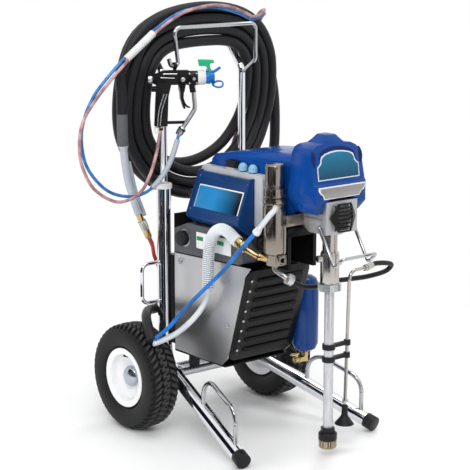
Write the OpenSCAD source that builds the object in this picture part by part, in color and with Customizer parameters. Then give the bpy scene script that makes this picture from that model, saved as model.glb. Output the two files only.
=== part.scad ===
// Cart mounted airless paint sprayer with an air assist compressor.
// The finished part stands on z = 0, its front looks along -Y and its controls are on the -X side.

/* [Wheels] */
// Outer diameter of the tyres
tyre_od = 266; // [256:1:270]
// Width of a tyre
tyre_w = 86; // [80:1:88]
// Distance between the middles of the two tyres
track_w = 436; // [432:1:442]
// Outer diameter of the white rims
rim_od = 148; // [140:1:152]
// Diameter of the axle rod
axle_d = 16; // [14:0.5:17]

/* [Cart frame] */
// Diameter of the bent frame tubes
frame_d = 36; // [34:1:37]
// Distance between the two posts
post_span = 250; // [248:1:252]
// Height of the open top of the posts
post_top_z = 596; // [580:2:604]
// Height at which a post turns into its leg
heel_z = 149; // [146:1:152]
// How far the legs reach in front of the axle
leg_reach = 411; // [390:3:420]
// Half the distance between the leg ends
leg_end_x = 211.5; // [205:0.5:215]
// Diameter of the guard hoops
hoop_d = 11; // [9:0.5:12]
// Height of the guard hoops over the middle of a leg
hoop_h = 95; // [80:5:100]

/* [Handle] */
// Diameter of the handle tube
handle_d = 19; // [18:0.5:19]
// Height at which the handle leans back
handle_bend_z = 874; // [868:2:880]
// Height of the handle's top bar
handle_top_z = 988; // [980:2:992]
// How far the top bar stands behind the posts
handle_top_y = 98; // [90:2:104]
// Diameter of the wire of the hose rack
rack_d = 10; // [8:0.5:10.5]

/* [Paint hose] */
// Outer diameter of the hose in its jacket
hose_d = 24.5; // [24:0.25:25]
// Height of the middle of the coil
coil_z = 789; // [785:1:795]
// Radius of the middle line of the outer turn
coil_r = 245.5; // [240:0.5:248]
// Number of loops in the front layer of the coil
coil_turns = 4; // [3:1:4]
// Diameter of the two air lines to the gun
line_d = 8; // [7:0.5:8]

/* [Pump] */
// Distance of the pump's middle line in front of the axle
pump_out = 467; // [464:1:468]
// Diameter of the pump's lower cylinder
pump_d = 44; // [40:1:45]
// Diameter of the suction tube
suction_d = 23; // [20:1:24]
// Diameter of the drain tube
drain_d = 8.5; // [8:0.5:9]

/* [Motor] */
// Width of the motor shroud
shroud_w = 144; // [138:2:148]
// Highest point of the motor shroud
shroud_top_z = 718; // [712:1:722]
// Half the width of the front shield at its lip
shield_half_w = 85; // [82:1:87]

/* [Filter] */
// Diameter of the filter bowl
filter_d = 54; // [50:1:55]
// Height of the top of the filter's pillar
filter_top_z = 702; // [690:2:706]

/* [Enclosure] */
// Thickness of the folded sheets
sheet_t = 2; // [1.5:0.5:2.5]
// Outside of the left panel, measured from the middle
left_side_x = 122; // [121:0.5:124]
// Outside of the right panel, measured from the middle
right_side_x = 80; // [78:1:80]
// Number of louvres in the front cover
louvres = 8; // [6:1:8]
// Distance between the louvres
louvre_step = 27; // [25:0.5:27]
// Diameter of the air tank
tank_d = 66; // [60:1:66]

/* [Spray gun] */
// Length of the gun body
gun_len = 93; // [88:1:96]
// Length of the grip
grip_len = 102; // [96:1:106]

/* [Hidden] */
$fn = 48;

// Distance from the middle of the footprint to the axle
axle_y = 218;
axle_z = tyre_od / 2;
post_x = post_span / 2;
frame_r = frame_d / 2;
cap_r = frame_r + 0.8;
leg_run = norm([leg_end_x - post_x, leg_reach]);
leg_tilt = atan((heel_z - frame_r) / leg_run);
leg_end_z = cap_r * cos(leg_tilt);
axle_r = axle_d / 2;
run_gap = 0.05;
loose_gap = 0.6;
up = [0, 0, 1];
seam = 0.5;
seam_h = 0.08;

// Colours
chrome = "gainsboro";
royal = "royalblue";
navy = "midnightblue";
dark = "dimgray";
black = [0.08, 0.08, 0.09];
steel = "silver";
nickel = "tan";

// ---- Vectors and routes ----

function unit(v) = v / norm(v);
function flip(p) = [-p.x, p.y, p.z];
function turn_at(p, i) = acos(unit(p[i] - p[i - 1]) * unit(p[i + 1] - p[i]));
function bend_at(bend_r, i) = is_list(bend_r) ? bend_r[i - 1] : bend_r;
function bend_cut(p, i, bend_r) = bend_at(bend_r, i) * tan(turn_at(p, i) / 2);

// A point on the smooth curve through the points p, at t of the stretch after point i
function on_curve(p, i, t) =
  let (a = p[max(i - 1, 0)], b = p[i], c = p[i + 1], d = p[min(i + 2, len(p) - 1)])
  (2 * b + (c - a) * t + (2 * a - 5 * b + 4 * c - d) * t^2 + (3 * b - a - 3 * c + d) * t^3) / 2;

// The smooth curve through p, with n points on each stretch
function smooth(p, n) = concat(
  [for (i = [0 : len(p) - 2], k = [0 : n - 1]) on_curve(p, i, k / n)],
  [p[len(p) - 1]]
);
function heading(p, i) = unit(p[min(i + 1, len(p) - 1)] - p[max(i - 1, 0)]);
function square_to(t, v) = unit(v - (v * t) * t);

// One direction across the route at each of its points, carried along without twist
function carried(p, first) = [
  for (i = 0, v = square_to(heading(p, 0), first);
       i < len(p);
       i = i + 1, v = i < len(p) ? square_to(heading(p, i), v) : v) v
];
function ring(c, t, v, r, sides) = [
  for (k = [0 : sides - 1]) c + r * (cos(360 * k / sides) * v + sin(360 * k / sides) * cross(t, v))
];

// A ring of points on each point of the route p, with the radius that r gives there
function rings(p, r, sides, first = [1, 0, 0]) =
  let (across = carried(p, first))
  [for (i = [0 : len(p) - 1]) ring(p[i], heading(p, i), across[i], r[i], sides)];
function backwards(list) = [for (i = [len(list) - 1 : -1 : 0]) list[i]];
function same(n, value) = [for (i = [1 : n]) value];

// Joins rings of points into one closed skin. A looped skin comes back to its first ring.
module skin(loops, looped = false) {
  n = len(loops);
  m = len(loops[0]);
  end = (n - 1) * m;
  walls = [
    for (i = [0 : looped ? n - 1 : n - 2], j = [0 : m - 1])
      let (a = i * m, b = (i + 1) % n * m, k = (j + 1) % m)
      each [[a + j, b + k, a + k], [a + j, b + j, b + k]]
  ];
  caps = [for (j = [1 : m - 2]) each [[0, j, j + 1], [end, end + j + 1, end + j]]];
  polyhedron([for (l = loops) each l], looped ? walls : concat(walls, caps), convexity = 12);
}

// A flexible tube through the points p
module tube(p, d, n = 3, sides = 10) {
  route = smooth(p, n);
  skin(rings(route, same(len(route), d / 2), sides));
}

// ---- Plain shapes ----

// A round bar from a to b, or a cone where r2 is given
module bar(a, b, r, r2 = undef) {
  d = b - a;
  translate(a) rotate([0, acos(d.z / norm(d)), atan2(d.y, d.x)])
    cylinder(h = norm(d), r1 = r, r2 = is_undef(r2) ? r : r2);
}

// A quarter of a ring, or less, that rounds the corner b of a bent rod
module elbow(a, b, c, bend_r, r) {
  u = unit(b - a);
  v = unit(c - b);
  angle = acos(u * v);
  n = unit(cross(u, v));
  out = cross(u, n);
  o = b - u * bend_r * tan(angle / 2) - out * bend_r;
  multmatrix([[out.x, u.x, n.x, o.x], [out.y, u.y, n.y, o.y], [out.z, u.z, n.z, o.z]])
    rotate_extrude(angle = angle) translate([bend_r, 0]) circle(r = r);
}

// A rod through the points p that is bent at each inner point, by one radius or a list of radii.
// A fine seam marks where a bend starts or ends.
module bent_rod(p, bend_r, r) {
  last = len(p) - 2;
  for (i = [0 : last]) {
    u = unit(p[i + 1] - p[i]);
    from = p[i] + u * (i == 0 ? 0 : bend_cut(p, i, bend_r));
    to = p[i + 1] - u * (i == last ? 0 : bend_cut(p, i + 1, bend_r));
    bar(from, to, r);
    if (i > 0) bar(from - u * seam, from + u * seam, r + seam_h);
    if (i < last) bar(to - u * seam, to + u * seam, r + seam_h);
  }
  for (i = [1 : 1 : last]) elbow(p[i - 1], p[i], p[i + 1], bend_at(bend_r, i), r);
}

// A block between two corners
module block(a, b) {
  translate([min(a.x, b.x), min(a.y, b.y), min(a.z, b.z)])
    cube([abs(b.x - a.x), abs(b.y - a.y), abs(b.z - a.z)]);
}

// A sheet or block whose outline is drawn in the Y-Z plane, from x1 to x2
module yz_plate(x1, x2, outline) {
  translate([x1, 0, 0]) rotate([90, 0, 90]) linear_extrude(x2 - x1) polygon(outline);
}

// A block whose outline is drawn in the X-Z plane, from y1 back to y2
module xz_plate(y1, y2, outline) {
  translate([0, y2, 0]) rotate([90, 0, 0]) linear_extrude(y2 - y1) polygon(outline);
}

// A revolved form about the line along dir through o; the profile is [radius, distance] points
module turned(o, dir, profile) {
  translate(o) rotate([0, acos(dir.z / norm(dir)), atan2(dir.y, dir.x)])
    rotate_extrude() polygon(profile);
}

// A hexagon nut between a and b, with the width over its flats
module hex(a, b, flats) {
  d = b - a;
  translate(a) rotate([0, acos(d.z / norm(d)), atan2(d.y, d.x)])
    cylinder(h = norm(d), r = flats / sqrt(3), $fn = 6);
}

// Sets the colour and moves a sub-part from the axle line to the middle of the footprint
module part(c) {
  color(c) translate([0, axle_y, 0]) children();
}

// ---- Cart frame ----

heel = [post_x, 0, heel_z];
leg_end = [leg_end_x, -leg_reach, leg_end_z];
leg_dir = unit(leg_end - heel);
heel_bend_r = 66;
post_bore_r = 16;
post_bore_z = 300;
cap_len = 26;
cap_floor = 3;

// A point on the middle line of the +X leg at a distance in front of the axle
function on_leg(out) = heel + leg_dir * (out / -leg_dir.y);

module frame_tube() {
  difference() {
    bent_rod([[post_x, 0, post_top_z], heel, leg_end - leg_dir * cap_floor], heel_bend_r, frame_r);
    translate([post_x, 0, post_bore_z]) cylinder(h = post_top_z, r = post_bore_r);
    translate(leg_end - leg_dir * 60) rotate([0, acos(leg_dir.z), atan2(leg_dir.y, leg_dir.x)])
      cylinder(h = 80, r = post_bore_r);
  }
}
module left_frame_tube() { part(chrome) mirror([1, 0, 0]) frame_tube(); }
module right_frame_tube() { part(chrome) frame_tube(); }

// Plastic end caps that close the legs and stand on the floor
module leg_caps() {
  part(dark) for (s = [0, 1]) mirror([s, 0, 0]) difference() {
    bar(leg_end - leg_dir * cap_len, leg_end, cap_r);
    bar(leg_end - leg_dir * (cap_len + 1), leg_end - leg_dir * cap_floor, frame_r);
  }
}

// Bushes in the tops of the posts, in which the handle slides
module post_collars() {
  part("white") for (s = [-1, 1]) translate([s * post_x, 0, 0])
    rotate_extrude() polygon([
      [handle_d / 2 + run_gap, post_top_z - 30], [post_bore_r, post_top_z - 30],
      [post_bore_r, post_top_z], [20, post_top_z], [20, post_top_z + 7], [17, post_top_z + 10],
      [handle_d / 2 + run_gap, post_top_z + 10]
    ]);
}

// A hoop on each leg, over which the cart rests when it is lowered or tied down
hoop_feet = [209, 371];
module guard_hoops() {
  rise = hoop_h * up;
  a = on_leg(hoop_feet[0]);
  b = on_leg(hoop_feet[1]);
  part(chrome) for (s = [0, 1]) mirror([s, 0, 0]) difference() {
    bent_rod([a, a + rise, b + rise, b], 44, hoop_d / 2);
    bar(on_leg(hoop_feet[0] - 60), on_leg(hoop_feet[1] + 30), frame_r);
  }
}

// The round cross tube between the legs, with a tab on each side that carries the axle
cross_y = -56;
cross_z = 134;
cross_r = 11;
tab_t = 7;
tab_x = post_x - 22;
module cross_tube() {
  part(steel) difference() {
    union() {
      bar([-post_x - 10, cross_y, cross_z], [post_x + 10, cross_y, cross_z], cross_r);
      for (s = [-1, 1]) translate([s * tab_x - tab_t / 2, 0, 0]) {
        bar([0, 0, axle_z], [tab_t, 0, axle_z], 14);
        block([0, cross_y, cross_z - 9], [tab_t, 0, axle_z + 10]);
      }
    }
    bar([-post_x, 0, axle_z], [post_x, 0, axle_z], axle_r);
    for (s = [0, 1]) mirror([s, 0, 0]) bar(on_leg(30), on_leg(140), frame_r);
  }
}

// A wire bracket on the outside of the left post, round which a cord or hose is wound
bracket_z = [312, 410];
bracket_out = 70;
module hose_bracket() {
  x = -post_x - bracket_out;
  part(chrome) difference() {
    bent_rod([[-post_x, 0, bracket_z[0]], [x, 0, bracket_z[0]], [x, 0, bracket_z[1]], [-post_x, 0, bracket_z[1]]], 18, 5);
    bar([-post_x, 0, 250], [-post_x, 0, 450], frame_r);
  }
}

// ---- Wheels ----

tyre_x = track_w / 2;
axle_end_x = tyre_x + 14;
rim_half = 34;
rim_seat_r = rim_od / 2 - 12;
hub_r = 21;
cap_dome_r = 26;

module axle() { part(steel) bar([-axle_end_x, 0, axle_z], [axle_end_x, 0, axle_z], axle_r); }

// A pneumatic tyre about the X axis: a squared crown, round shoulders and a bead on the rim
lugs = 30;
lug_depth = 7;
groove_w = 6;
module tyre() {
  r = tyre_od / 2;
  h = tyre_w / 2;
  translate([tyre_x, 0, axle_z]) rotate([0, 90, 0]) difference() {
    rotate_extrude($fn = 96) polygon([
      [rim_seat_r, -rim_half], [rim_od / 2 + 1, -rim_half - 1], [rim_od / 2 + 8, -h + 4], [r - 34, -h],
      [r - 16, -h + 1], [r - 6, -h + 7], [r - 1.5, -h + 17], [r, -h + 32], [r, h - 32],
      [r - 1.5, h - 17], [r - 6, h - 7], [r - 16, h - 1], [r - 34, h],
      [rim_od / 2 + 8, h - 4], [rim_od / 2 + 1, rim_half + 1], [rim_seat_r, rim_half]
    ]);
    for (z = [-11, 11]) translate([0, 0, z - 2]) difference() {
      cylinder(h = 4, r = r + 1, $fn = 96);
      translate([0, 0, -1]) cylinder(h = 6, r = r - lug_depth, $fn = 96);
    }
    for (i = [0 : lugs - 1], s = [0, 1]) rotate([0, 0, 360 * (i + s / 2) / lugs]) mirror([0, 0, s])
      translate([r - lug_depth, -groove_w / 2, 20]) rotate([12, 0, 0]) cube([20, groove_w, h]);
  }
}
module left_tyre() { part(black) mirror([1, 0, 0]) tyre(); }
module right_tyre() { part(black) tyre(); }

// A pressed rim with a deep dish and a hub tube, and a domed cap over the end of the axle
module rim() {
  edge_r = rim_od / 2;
  bore = axle_r + run_gap;
  translate([tyre_x, 0, axle_z]) rotate([0, 90, 0]) {
    rotate_extrude() polygon([
      [bore, -30], [hub_r, -30], [hub_r, -14], [rim_seat_r - 8, -20], [rim_seat_r - 4, -rim_half - 1],
      [edge_r, -rim_half - 3], [edge_r, -rim_half - 1], [rim_seat_r, -rim_half], [rim_seat_r, rim_half],
      [edge_r, rim_half + 1], [edge_r, rim_half + 3], [rim_seat_r - 3, rim_half + 1],
      [rim_seat_r - 9, 20], [hub_r + 12, 4], [hub_r, 6], [hub_r, 12], [bore, 12]
    ]);
    rotate_extrude() polygon([
      [axle_r + 1, 12], [cap_dome_r, 12], [cap_dome_r, 15], [22, 21], [14, 25], [0, 26.5],
      [0, 22], [axle_r + 1, 20]
    ]);
  }
}
module left_rim() { part("white") mirror([1, 0, 0]) rim(); }
module right_rim() { part("white") rim(); }

// ---- Enclosure under the motor ----

rear_y = -34;
base_z = 186;
deck_z = 536;
deck_t = 12;
tank_c = [115, -258];
tank_z = [190, 388];
cover_low = [-242, 205];
cover_top = [-313, 437];
deck_front_y = -400;

// The rear sheet, its base and feet, the saddles on the posts and the deck that carries the motor
saddle_z = [204, 430];
module chassis() {
  part(steel) difference() {
    union() {
      block([-left_side_x + sheet_t, rear_y - 4, base_z], [right_side_x - sheet_t, rear_y, deck_z]);
      block([right_side_x - sheet_t - 1, rear_y - 4, base_z], [post_x, rear_y, 434]);
      block([-left_side_x + sheet_t, -232, base_z], [right_side_x - sheet_t, rear_y, base_z + 4]);
      for (s = [-1, 1]) block([s * (post_x - 40), rear_y, saddle_z[0]], [s * (post_x - 5), -8, saddle_z[1]]);
      for (x = [-76, 66]) block([x - 10, cross_y - 9, cross_z], [x + 10, cross_y + 9, base_z]);
      block([-70, deck_front_y, deck_z], [72, rear_y, deck_z + deck_t]);
      block([-58, -380, deck_z - 16], [62, rear_y - 4, deck_z]);
      for (x = [-40, 40]) block([x - 5, -372, 440], [x + 5, rear_y - 4, deck_z]);
      block([tank_c.x - 16, tank_c.y, 240], [tank_c.x - 10, rear_y, 340]);
    }
    for (s = [-1, 1]) bar([s * post_x, 0, 100], [s * post_x, 0, 500], frame_r);
    bar([-post_x, cross_y, cross_z], [post_x, cross_y, cross_z], cross_r);
    bar([tank_c.x, tank_c.y, 0], [tank_c.x, tank_c.y, 500], tank_d / 2);
  }
}

function lean(z) = cover_low[0] + (cover_top[0] - cover_low[0]) * (z - cover_low[1]) / (cover_top[1] - cover_low[1]);
side_outline = [
  [rear_y - 4, 438], [-328, 447], [lean(425), 425], [lean(210), 210], [-222, 191], [-141, 189], [-71, 192],
  [rear_y - 4, 192]
];

// The polished sheet that closes the left side, with a folded lip along its rear edge
module left_side_panel() {
  part(chrome) {
    yz_plate(-left_side_x, -left_side_x + sheet_t, side_outline);
    bar([-left_side_x, -243, 293], [-left_side_x - 3, -243, 293], 6);
    bar([-left_side_x, -60, 420], [-left_side_x - 3, -60, 420], 6);
  }
}
module right_side_panel() {
  part(chrome) yz_plate(right_side_x - sheet_t, right_side_x, [
    [rear_y - 4, 437], [lean(437), 437], [lean(210), 210], [-222, 191], [rear_y - 4, 191]
  ]);
}

// The leaning front cover: a sheet with rounded corners and a stack of raised, open louvres
cover_t = 3;
cover_lean = atan((cover_low[0] - cover_top[0]) / (cover_top[1] - cover_low[1]));
cover_len = norm(cover_top - cover_low);
louvre_x = [-84, 62];
louvre_r = 9;
module louvre_cover() {
  part(black) translate([0, cover_low[0], cover_low[1]]) rotate([cover_lean, 0, 0]) {
    difference() {
      union() {
        block([-left_side_x, -cover_t, 22], [right_side_x, 0, cover_len - 22]);
        block([-left_side_x + 22, -cover_t, 0], [right_side_x - 22, 0, cover_len]);
        for (x = [-left_side_x + 22, right_side_x - 22], z = [22, cover_len - 22])
          bar([x, -cover_t, z], [x, 0, z], 22);
        for (i = [0 : louvres - 1]) louvre(24 + i * louvre_step);
      }
      for (i = [0 : louvres - 1]) louvre_mouth(24 + i * louvre_step);
    }
    for (i = [0 : louvres - 1]) bar([louvre_x[0] - 18, -cover_t - 2, 28 + i * louvre_step], [louvre_x[0] - 18, -cover_t, 28 + i * louvre_step], 4);
  }
}
// A pressed louvre: half of a long round bulge, open along its lower edge
module louvre(z) {
  intersection() {
    union() {
      bar([louvre_x[0] + louvre_r, -cover_t, z], [louvre_x[1] - louvre_r, -cover_t, z], louvre_r);
      for (x = [louvre_x[0] + louvre_r, louvre_x[1] - louvre_r]) translate([x, -cover_t, z]) sphere(r = louvre_r);
    }
    block([louvre_x[0], -cover_t - louvre_r, z], [louvre_x[1], 0, z + louvre_r]);
  }
}
module louvre_mouth(z) {
  r = louvre_r - 2;
  intersection() {
    union() {
      bar([louvre_x[0] + louvre_r, -cover_t, z], [louvre_x[1] - louvre_r, -cover_t, z], r);
      for (x = [louvre_x[0] + louvre_r, louvre_x[1] - louvre_r]) translate([x, -cover_t, z]) sphere(r = r);
    }
    block([louvre_x[0], -cover_t - louvre_r, z - 1], [louvre_x[1], 1, z + r]);
  }
}

// The air control housing on top of the enclosure
console_x = [-left_side_x, -62];
knob_y = -80;
knob_z = 482;
module air_console() {
  part(dark) difference() {
    yz_plate(console_x[0], console_x[1], [
      [rear_y - 4, 441], [-288, 449], [-300, 458], [-296, 500], [-270, 520], [-90, 520], [rear_y - 4, 500]
    ]);
    bar([-left_side_x - 1, knob_y, knob_z], [-left_side_x + 14, knob_y, knob_z], 5 + run_gap);
    block([-left_side_x - 1, -270, 462], [-left_side_x + 1.5, -120, 506]);
  }
}
module regulator_knob() {
  x = -left_side_x;
  part(black) {
    turned([x - 1, knob_y, knob_z], [-1, 0, 0], [
      [0, 0], [17, 0], [19, 3], [19, 14], [17, 17], [12, 18], [0, 18]
    ]);
    bar([x + 13, knob_y, knob_z], [x - 1, knob_y, knob_z], 5);
  }
}

// The twin cylinder compressor on the base of the enclosure
module compressor() {
  part(dark) {
    difference() {
      union() {
        bar([-90, -130, base_z + 74], [40, -130, base_z + 74], 62);
        block([-80, -180, base_z + 4], [30, -80, base_z + 20]);
        for (x = [-64, 14]) bar([x, -130, base_z + 74], [x, -130, base_z + 180], 34);
        for (x = [-64, 14], i = [0 : 4]) bar([x, -130, base_z + 120 + 12 * i], [x, -130, base_z + 124 + 12 * i], 38);
      }
      block([-100, -250, 0], [60, -60, base_z + 4]);
    }
  }
}

// The blue air tank with domed ends, and the fitting under it
module air_tank() {
  r = tank_d / 2;
  part(royal) translate([tank_c.x, tank_c.y, 0]) {
    rotate_extrude() polygon([
      [0, tank_z[0]], [r * 0.5, tank_z[0] + 3], [r * 0.82, tank_z[0] + 10], [r, tank_z[0] + 24],
      [r, tank_z[1] - 24], [r * 0.82, tank_z[1] - 10], [r * 0.5, tank_z[1] - 3], [0, tank_z[1]]
    ]);
  }
}
module tank_valve() {
  part("goldenrod") translate([tank_c.x, tank_c.y, 0]) {
    translate([0, 0, 166]) cylinder(h = tank_z[0] - 166, r = 8);
    bar([0, 0, 174], [-34, 0, 174], 7);
    hex([-12, 0, 174], [-22, 0, 174], 18);
    bar([-27, 0, 174], [-27, 0, 188], 4);
    block([-46, -4, 186], [-22, 4, 190]);
  }
}

// ---- Motor ----

shroud_front = -415;
shroud_rear = -120;
shroud_low = 570;
corner_r = 26;

// A rectangle with rounded corners that stands on z, w wide and h high
module round_rect(w, z, h, r) {
  for (x = [-w / 2 + r, w / 2 - r], y = [z + r, z + h - r]) translate([x, y]) circle(r = r);
  translate([-w / 2 + r, z]) square([w - 2 * r, h]);
  translate([-w / 2, z + r]) square([w, h - 2 * r]);
}

// The motor's moulded cover: a rounded box whose back rises towards the front
module motor_shroud() {
  part(royal) {
    intersection() {
      yz_plate(-shroud_w / 2, shroud_w / 2, [
        [shroud_front, shroud_low], [shroud_rear - 10, shroud_low], [shroud_rear, shroud_low + 22],
        [shroud_rear, shroud_top_z - 62], [shroud_rear - 5, shroud_top_z - 40], [shroud_rear - 18, shroud_top_z - 26],
        [-226, shroud_top_z - 10], [-330, shroud_top_z], [shroud_front, shroud_top_z]
      ]);
      translate([0, shroud_rear, 0]) rotate([90, 0, 0]) linear_extrude(shroud_rear - shroud_front)
        round_rect(shroud_w, shroud_low, shroud_top_z - shroud_low, corner_r);
    }
    difference() {
      block([-58, -390, deck_z + deck_t], [58, -150, shroud_low + 8]);
      translate([0, shroud_rear, 0]) rotate([90, 0, 0]) linear_extrude(400)
        round_rect(shroud_w - 1, shroud_low + 0.5, 60, corner_r);
      block([-40, -400, 0], [40, -140, shroud_low - 6]);
    }
  }
}

// The front shield: its front outline, side outline and plan meet in one moulding
shield_back = shroud_front;
shield_front = -506;
belt_z = [640, 655];
hump_top_z = 768;
module half_front() {
  w = shield_half_w;
  polygon([
    [0, 592], [w - 19, 592], [w - 8, 610], [w - 2, 628], [w, belt_z[0]], [w - 2, belt_z[1]],
    [w - 5, 662], [w - 8, 700], [w - 11, 726], [w - 19, 740], [w - 33, 747], [31, 749],
    [24, 757], [16, hump_top_z - 1], [10, hump_top_z], [0, hump_top_z]
  ]);
}
module front_shield() {
  part(royal) {
    difference() {
      intersection() {
        translate([0, shield_back, 0]) rotate([90, 0, 0]) linear_extrude(100) {
          half_front();
          mirror([1, 0]) half_front();
        }
        yz_plate(-100, 100, [
          [shield_back, 590], [-488, 590], [-500, 612], [-504, 630], [shield_front, belt_z[0]],
          [shield_front, belt_z[1] - 2], [-502, belt_z[1] + 3], [-495, 662], [-486, 726], [-478, 742],
          [-474, 752], [-463, hump_top_z - 2], [-456, hump_top_z], [-436, hump_top_z], [-428, 756],
          [shield_back, 744]
        ]);
        translate([0, 0, 580]) linear_extrude(200) {
          translate([-shield_half_w, -486]) square([2 * shield_half_w, 80]);
          translate([-shield_half_w + 22, shield_front - 1]) square([2 * shield_half_w - 44, 60]);
          for (x = [-1, 1]) translate([x * (shield_half_w - 23), -484]) circle(r = 23);
        }
      }
      // the recess round the gear housing, and the arch over it
      block([-49, shield_front - 2, 580], [49, shield_back + 1, 621]);
      bar([0, shield_front - 2, 602], [0, shield_back + 1, 602], 44);
      // the hollow behind the hump, in which the wire of the lifting grip sits
      bar([-60, -447, 736], [60, -447, 736], 7);
      // the finger recess beside the upper plate
      translate([-62, -500, 735]) rotate([20, 0, 0]) scale(1) sphere(r = 11);
    }
    for (s = [-1, 1]) translate([0, 0, 0]) difference() {
      bar([s * (shield_half_w - 12), -450, 608], [s * (shield_half_w - 4), -450, 608], 6);
      block([s * (shield_half_w - 20), -470, 590], [s * (shield_half_w - 11.5), -430, 626]);
    }
  }
}

housing_half_w = 48;
housing_low = 545;
housing_top = 620;
housing_front = -505;
cavity_half_w = 22;

// The cast gear housing, open in front round the pump rod, with a hole on each side for the pail hook
hook_pivot = [-485, 562];
hook_wire_r = 4;
module gear_housing() {
  part(dark) difference() {
    union() {
      yz_plate(-housing_half_w, housing_half_w, [
        [housing_front, housing_low], [-448, housing_low], [shield_back, 564], [shield_back, housing_top],
        [housing_front, housing_top]
      ]);
      bar([0, -pump_out, housing_low - 5], [0, -pump_out, housing_low], 30);
    }
    block([-cavity_half_w, housing_front - 1, housing_low + 6], [cavity_half_w, -pump_out + 24, housing_top - 10]);
    bar([0, -pump_out, housing_low - 20], [0, -pump_out, housing_low + 10], 17.5);
    for (s = [-1, 1]) bar([s * 34, hook_pivot.x, hook_pivot.y], [s * 60, hook_pivot.x, hook_pivot.y], hook_wire_r + run_gap);
    for (s = [-1, 1], z = [0 : 2]) block([s * 45.5, -500 + 8, 578 + 14 * z], [s * 50, -430, 584 + 14 * z]);
  }
}

// The finned guard in front of the pump rod: a bulging hexagon with open slots
guard_w = 76;
guard_slot = 5.5;
module rod_guard() {
  mid = (housing_low + housing_top) / 2;
  bulge = 92;
  part(black) difference() {
    intersection() {
      translate([0, housing_front, mid]) rotate([90, 0, 0]) linear_extrude(16) hexagon(guard_w / 2);
      translate([0, housing_front + bulge - 14, 0]) difference() {
        cylinder(h = 700, r = bulge, $fn = 96);
        translate([0, 0, -1]) cylinder(h = 702, r = bulge - 5, $fn = 96);
      }
    }
    for (i = [-3 : 3]) translate([0, housing_front - 8, mid + 9 * i])
      cube([guard_w * 0.66 - abs(i) * 5, 40, guard_slot], center = true);
  }
}
module hexagon(r) { polygon([for (a = [0 : 60 : 300]) r * [cos(a), sin(a)]]); }

// ---- Pump ----

pump_c = [0, -pump_out];
rod_r = 6;
stroke = 25;
pump_top = housing_low + 6;
pump_low = 421;
nut_low = 404;
suction_low = 52;

// The pump's cylinder, clamped in the gear housing, with the bore in which its rod slides
module pump_cylinder() {
  part(steel) difference() {
    union() {
      translate([pump_c.x, pump_c.y, 0]) {
        rotate_extrude() polygon([
          [0, pump_low], [pump_d / 2, pump_low], [pump_d / 2, 490], [pump_d / 2 - 2, 496], [17.5, 497],
          [17.5, pump_top - 2], [15.5, pump_top], [0, pump_top]
        ]);
      }
      bar([pump_c.x, pump_c.y, 466], [pump_c.x + 32, pump_c.y, 466], 7);
      bar([pump_c.x, pump_c.y, 480], [pump_c.x - 30, pump_c.y + 10, 480], 8);
    }
    translate([pump_c.x, pump_c.y, 440]) cylinder(h = 200, r = rod_r + run_gap);
    translate([pump_c.x, pump_c.y, pump_low - 1]) cylinder(h = 24, r = 16);
  }
}
module pump_rod() {
  part(chrome) translate([pump_c.x, pump_c.y, 0]) {
    translate([0, 0, 474]) cylinder(h = 112, r = rod_r);
    translate([0, 0, 582]) cylinder(h = 16, r = 13);
    translate([0, 0, 598]) cylinder(h = 6, r = 9);
  }
}
module pump_nut() {
  part(steel) translate([pump_c.x, pump_c.y, 0]) difference() {
    union() {
      translate([0, 0, nut_low]) cylinder(h = pump_low - nut_low, r = 23.5);
      for (a = [0 : 60 : 300]) rotate([0, 0, a]) translate([21, -5, nut_low]) cube([6, 10, pump_low - nut_low]);
    }
    translate([0, 0, nut_low - 1]) cylinder(h = 11, r = suction_d / 2);
  }
}
module suction_tube() {
  part(chrome) translate([pump_c.x, pump_c.y, 0]) rotate_extrude() polygon([
    [suction_d / 2 - 1.5, suction_low], [suction_d / 2, suction_low], [suction_d / 2, nut_low + 10],
    [suction_d / 2 - 1.5, nut_low + 10]
  ]);
}

// The foot of the suction tube: a hexagon, a flange and a strainer basket with upright slots
module strainer() {
  part(black) translate([pump_c.x, pump_c.y, 0]) difference() {
    union() {
      translate([0, 0, 60]) cylinder(h = 12, r = 30 / sqrt(3), $fn = 6);
      rotate_extrude() polygon([[0, 41], [20, 41], [22, 43], [22, 58], [20, 60], [0, 60]]);
      rotate_extrude() polygon([[0, 22], [18, 22], [20, 25], [20, 41], [0, 41]]);
    }
    translate([0, 0, suction_low]) cylinder(h = 30, r = suction_d / 2);
    translate([0, 0, 27]) cylinder(h = suction_low, r = 9);
    for (a = [0 : 30 : 330]) rotate([0, 0, a]) translate([8, -1.5, 27]) cube([14, 3, 12]);
  }
}

// ---- Drain tube and its clip ----

drain_foot = [54, -467, 84];
drain_knee = [64, -467, 440];
drain_end = [118, -467, 440];
drain_dir = unit(drain_knee - drain_foot);
crimp_end = [142, -460, 442];
module drain_tube() {
  part(chrome) {
    bent_rod([drain_foot, drain_knee, drain_end], 22, drain_d / 2);
    bar(drain_foot + drain_dir * 38, drain_foot + drain_dir * 44, 8);
    bar(drain_end, crimp_end, 8);
    bar(drain_end - [6, 0, 0], drain_end, 7);
  }
}
module drain_deflector() {
  part(black) difference() {
    turned(drain_foot - drain_dir * 16, drain_dir, [
      [0, 0], [23, 0], [23, 2], [9, 20], [7.5, 26], [7.5, 46], [6, 48], [0, 48]
    ]);
    turned(drain_foot - drain_dir * 17, drain_dir, [[0, 0], [21.5, 0], [21.5, 2], [8, 17.5], [0, 17.5]]);
    bar(drain_foot - drain_dir * 1, drain_foot + drain_dir * 60, drain_d / 2);
  }
}

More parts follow.
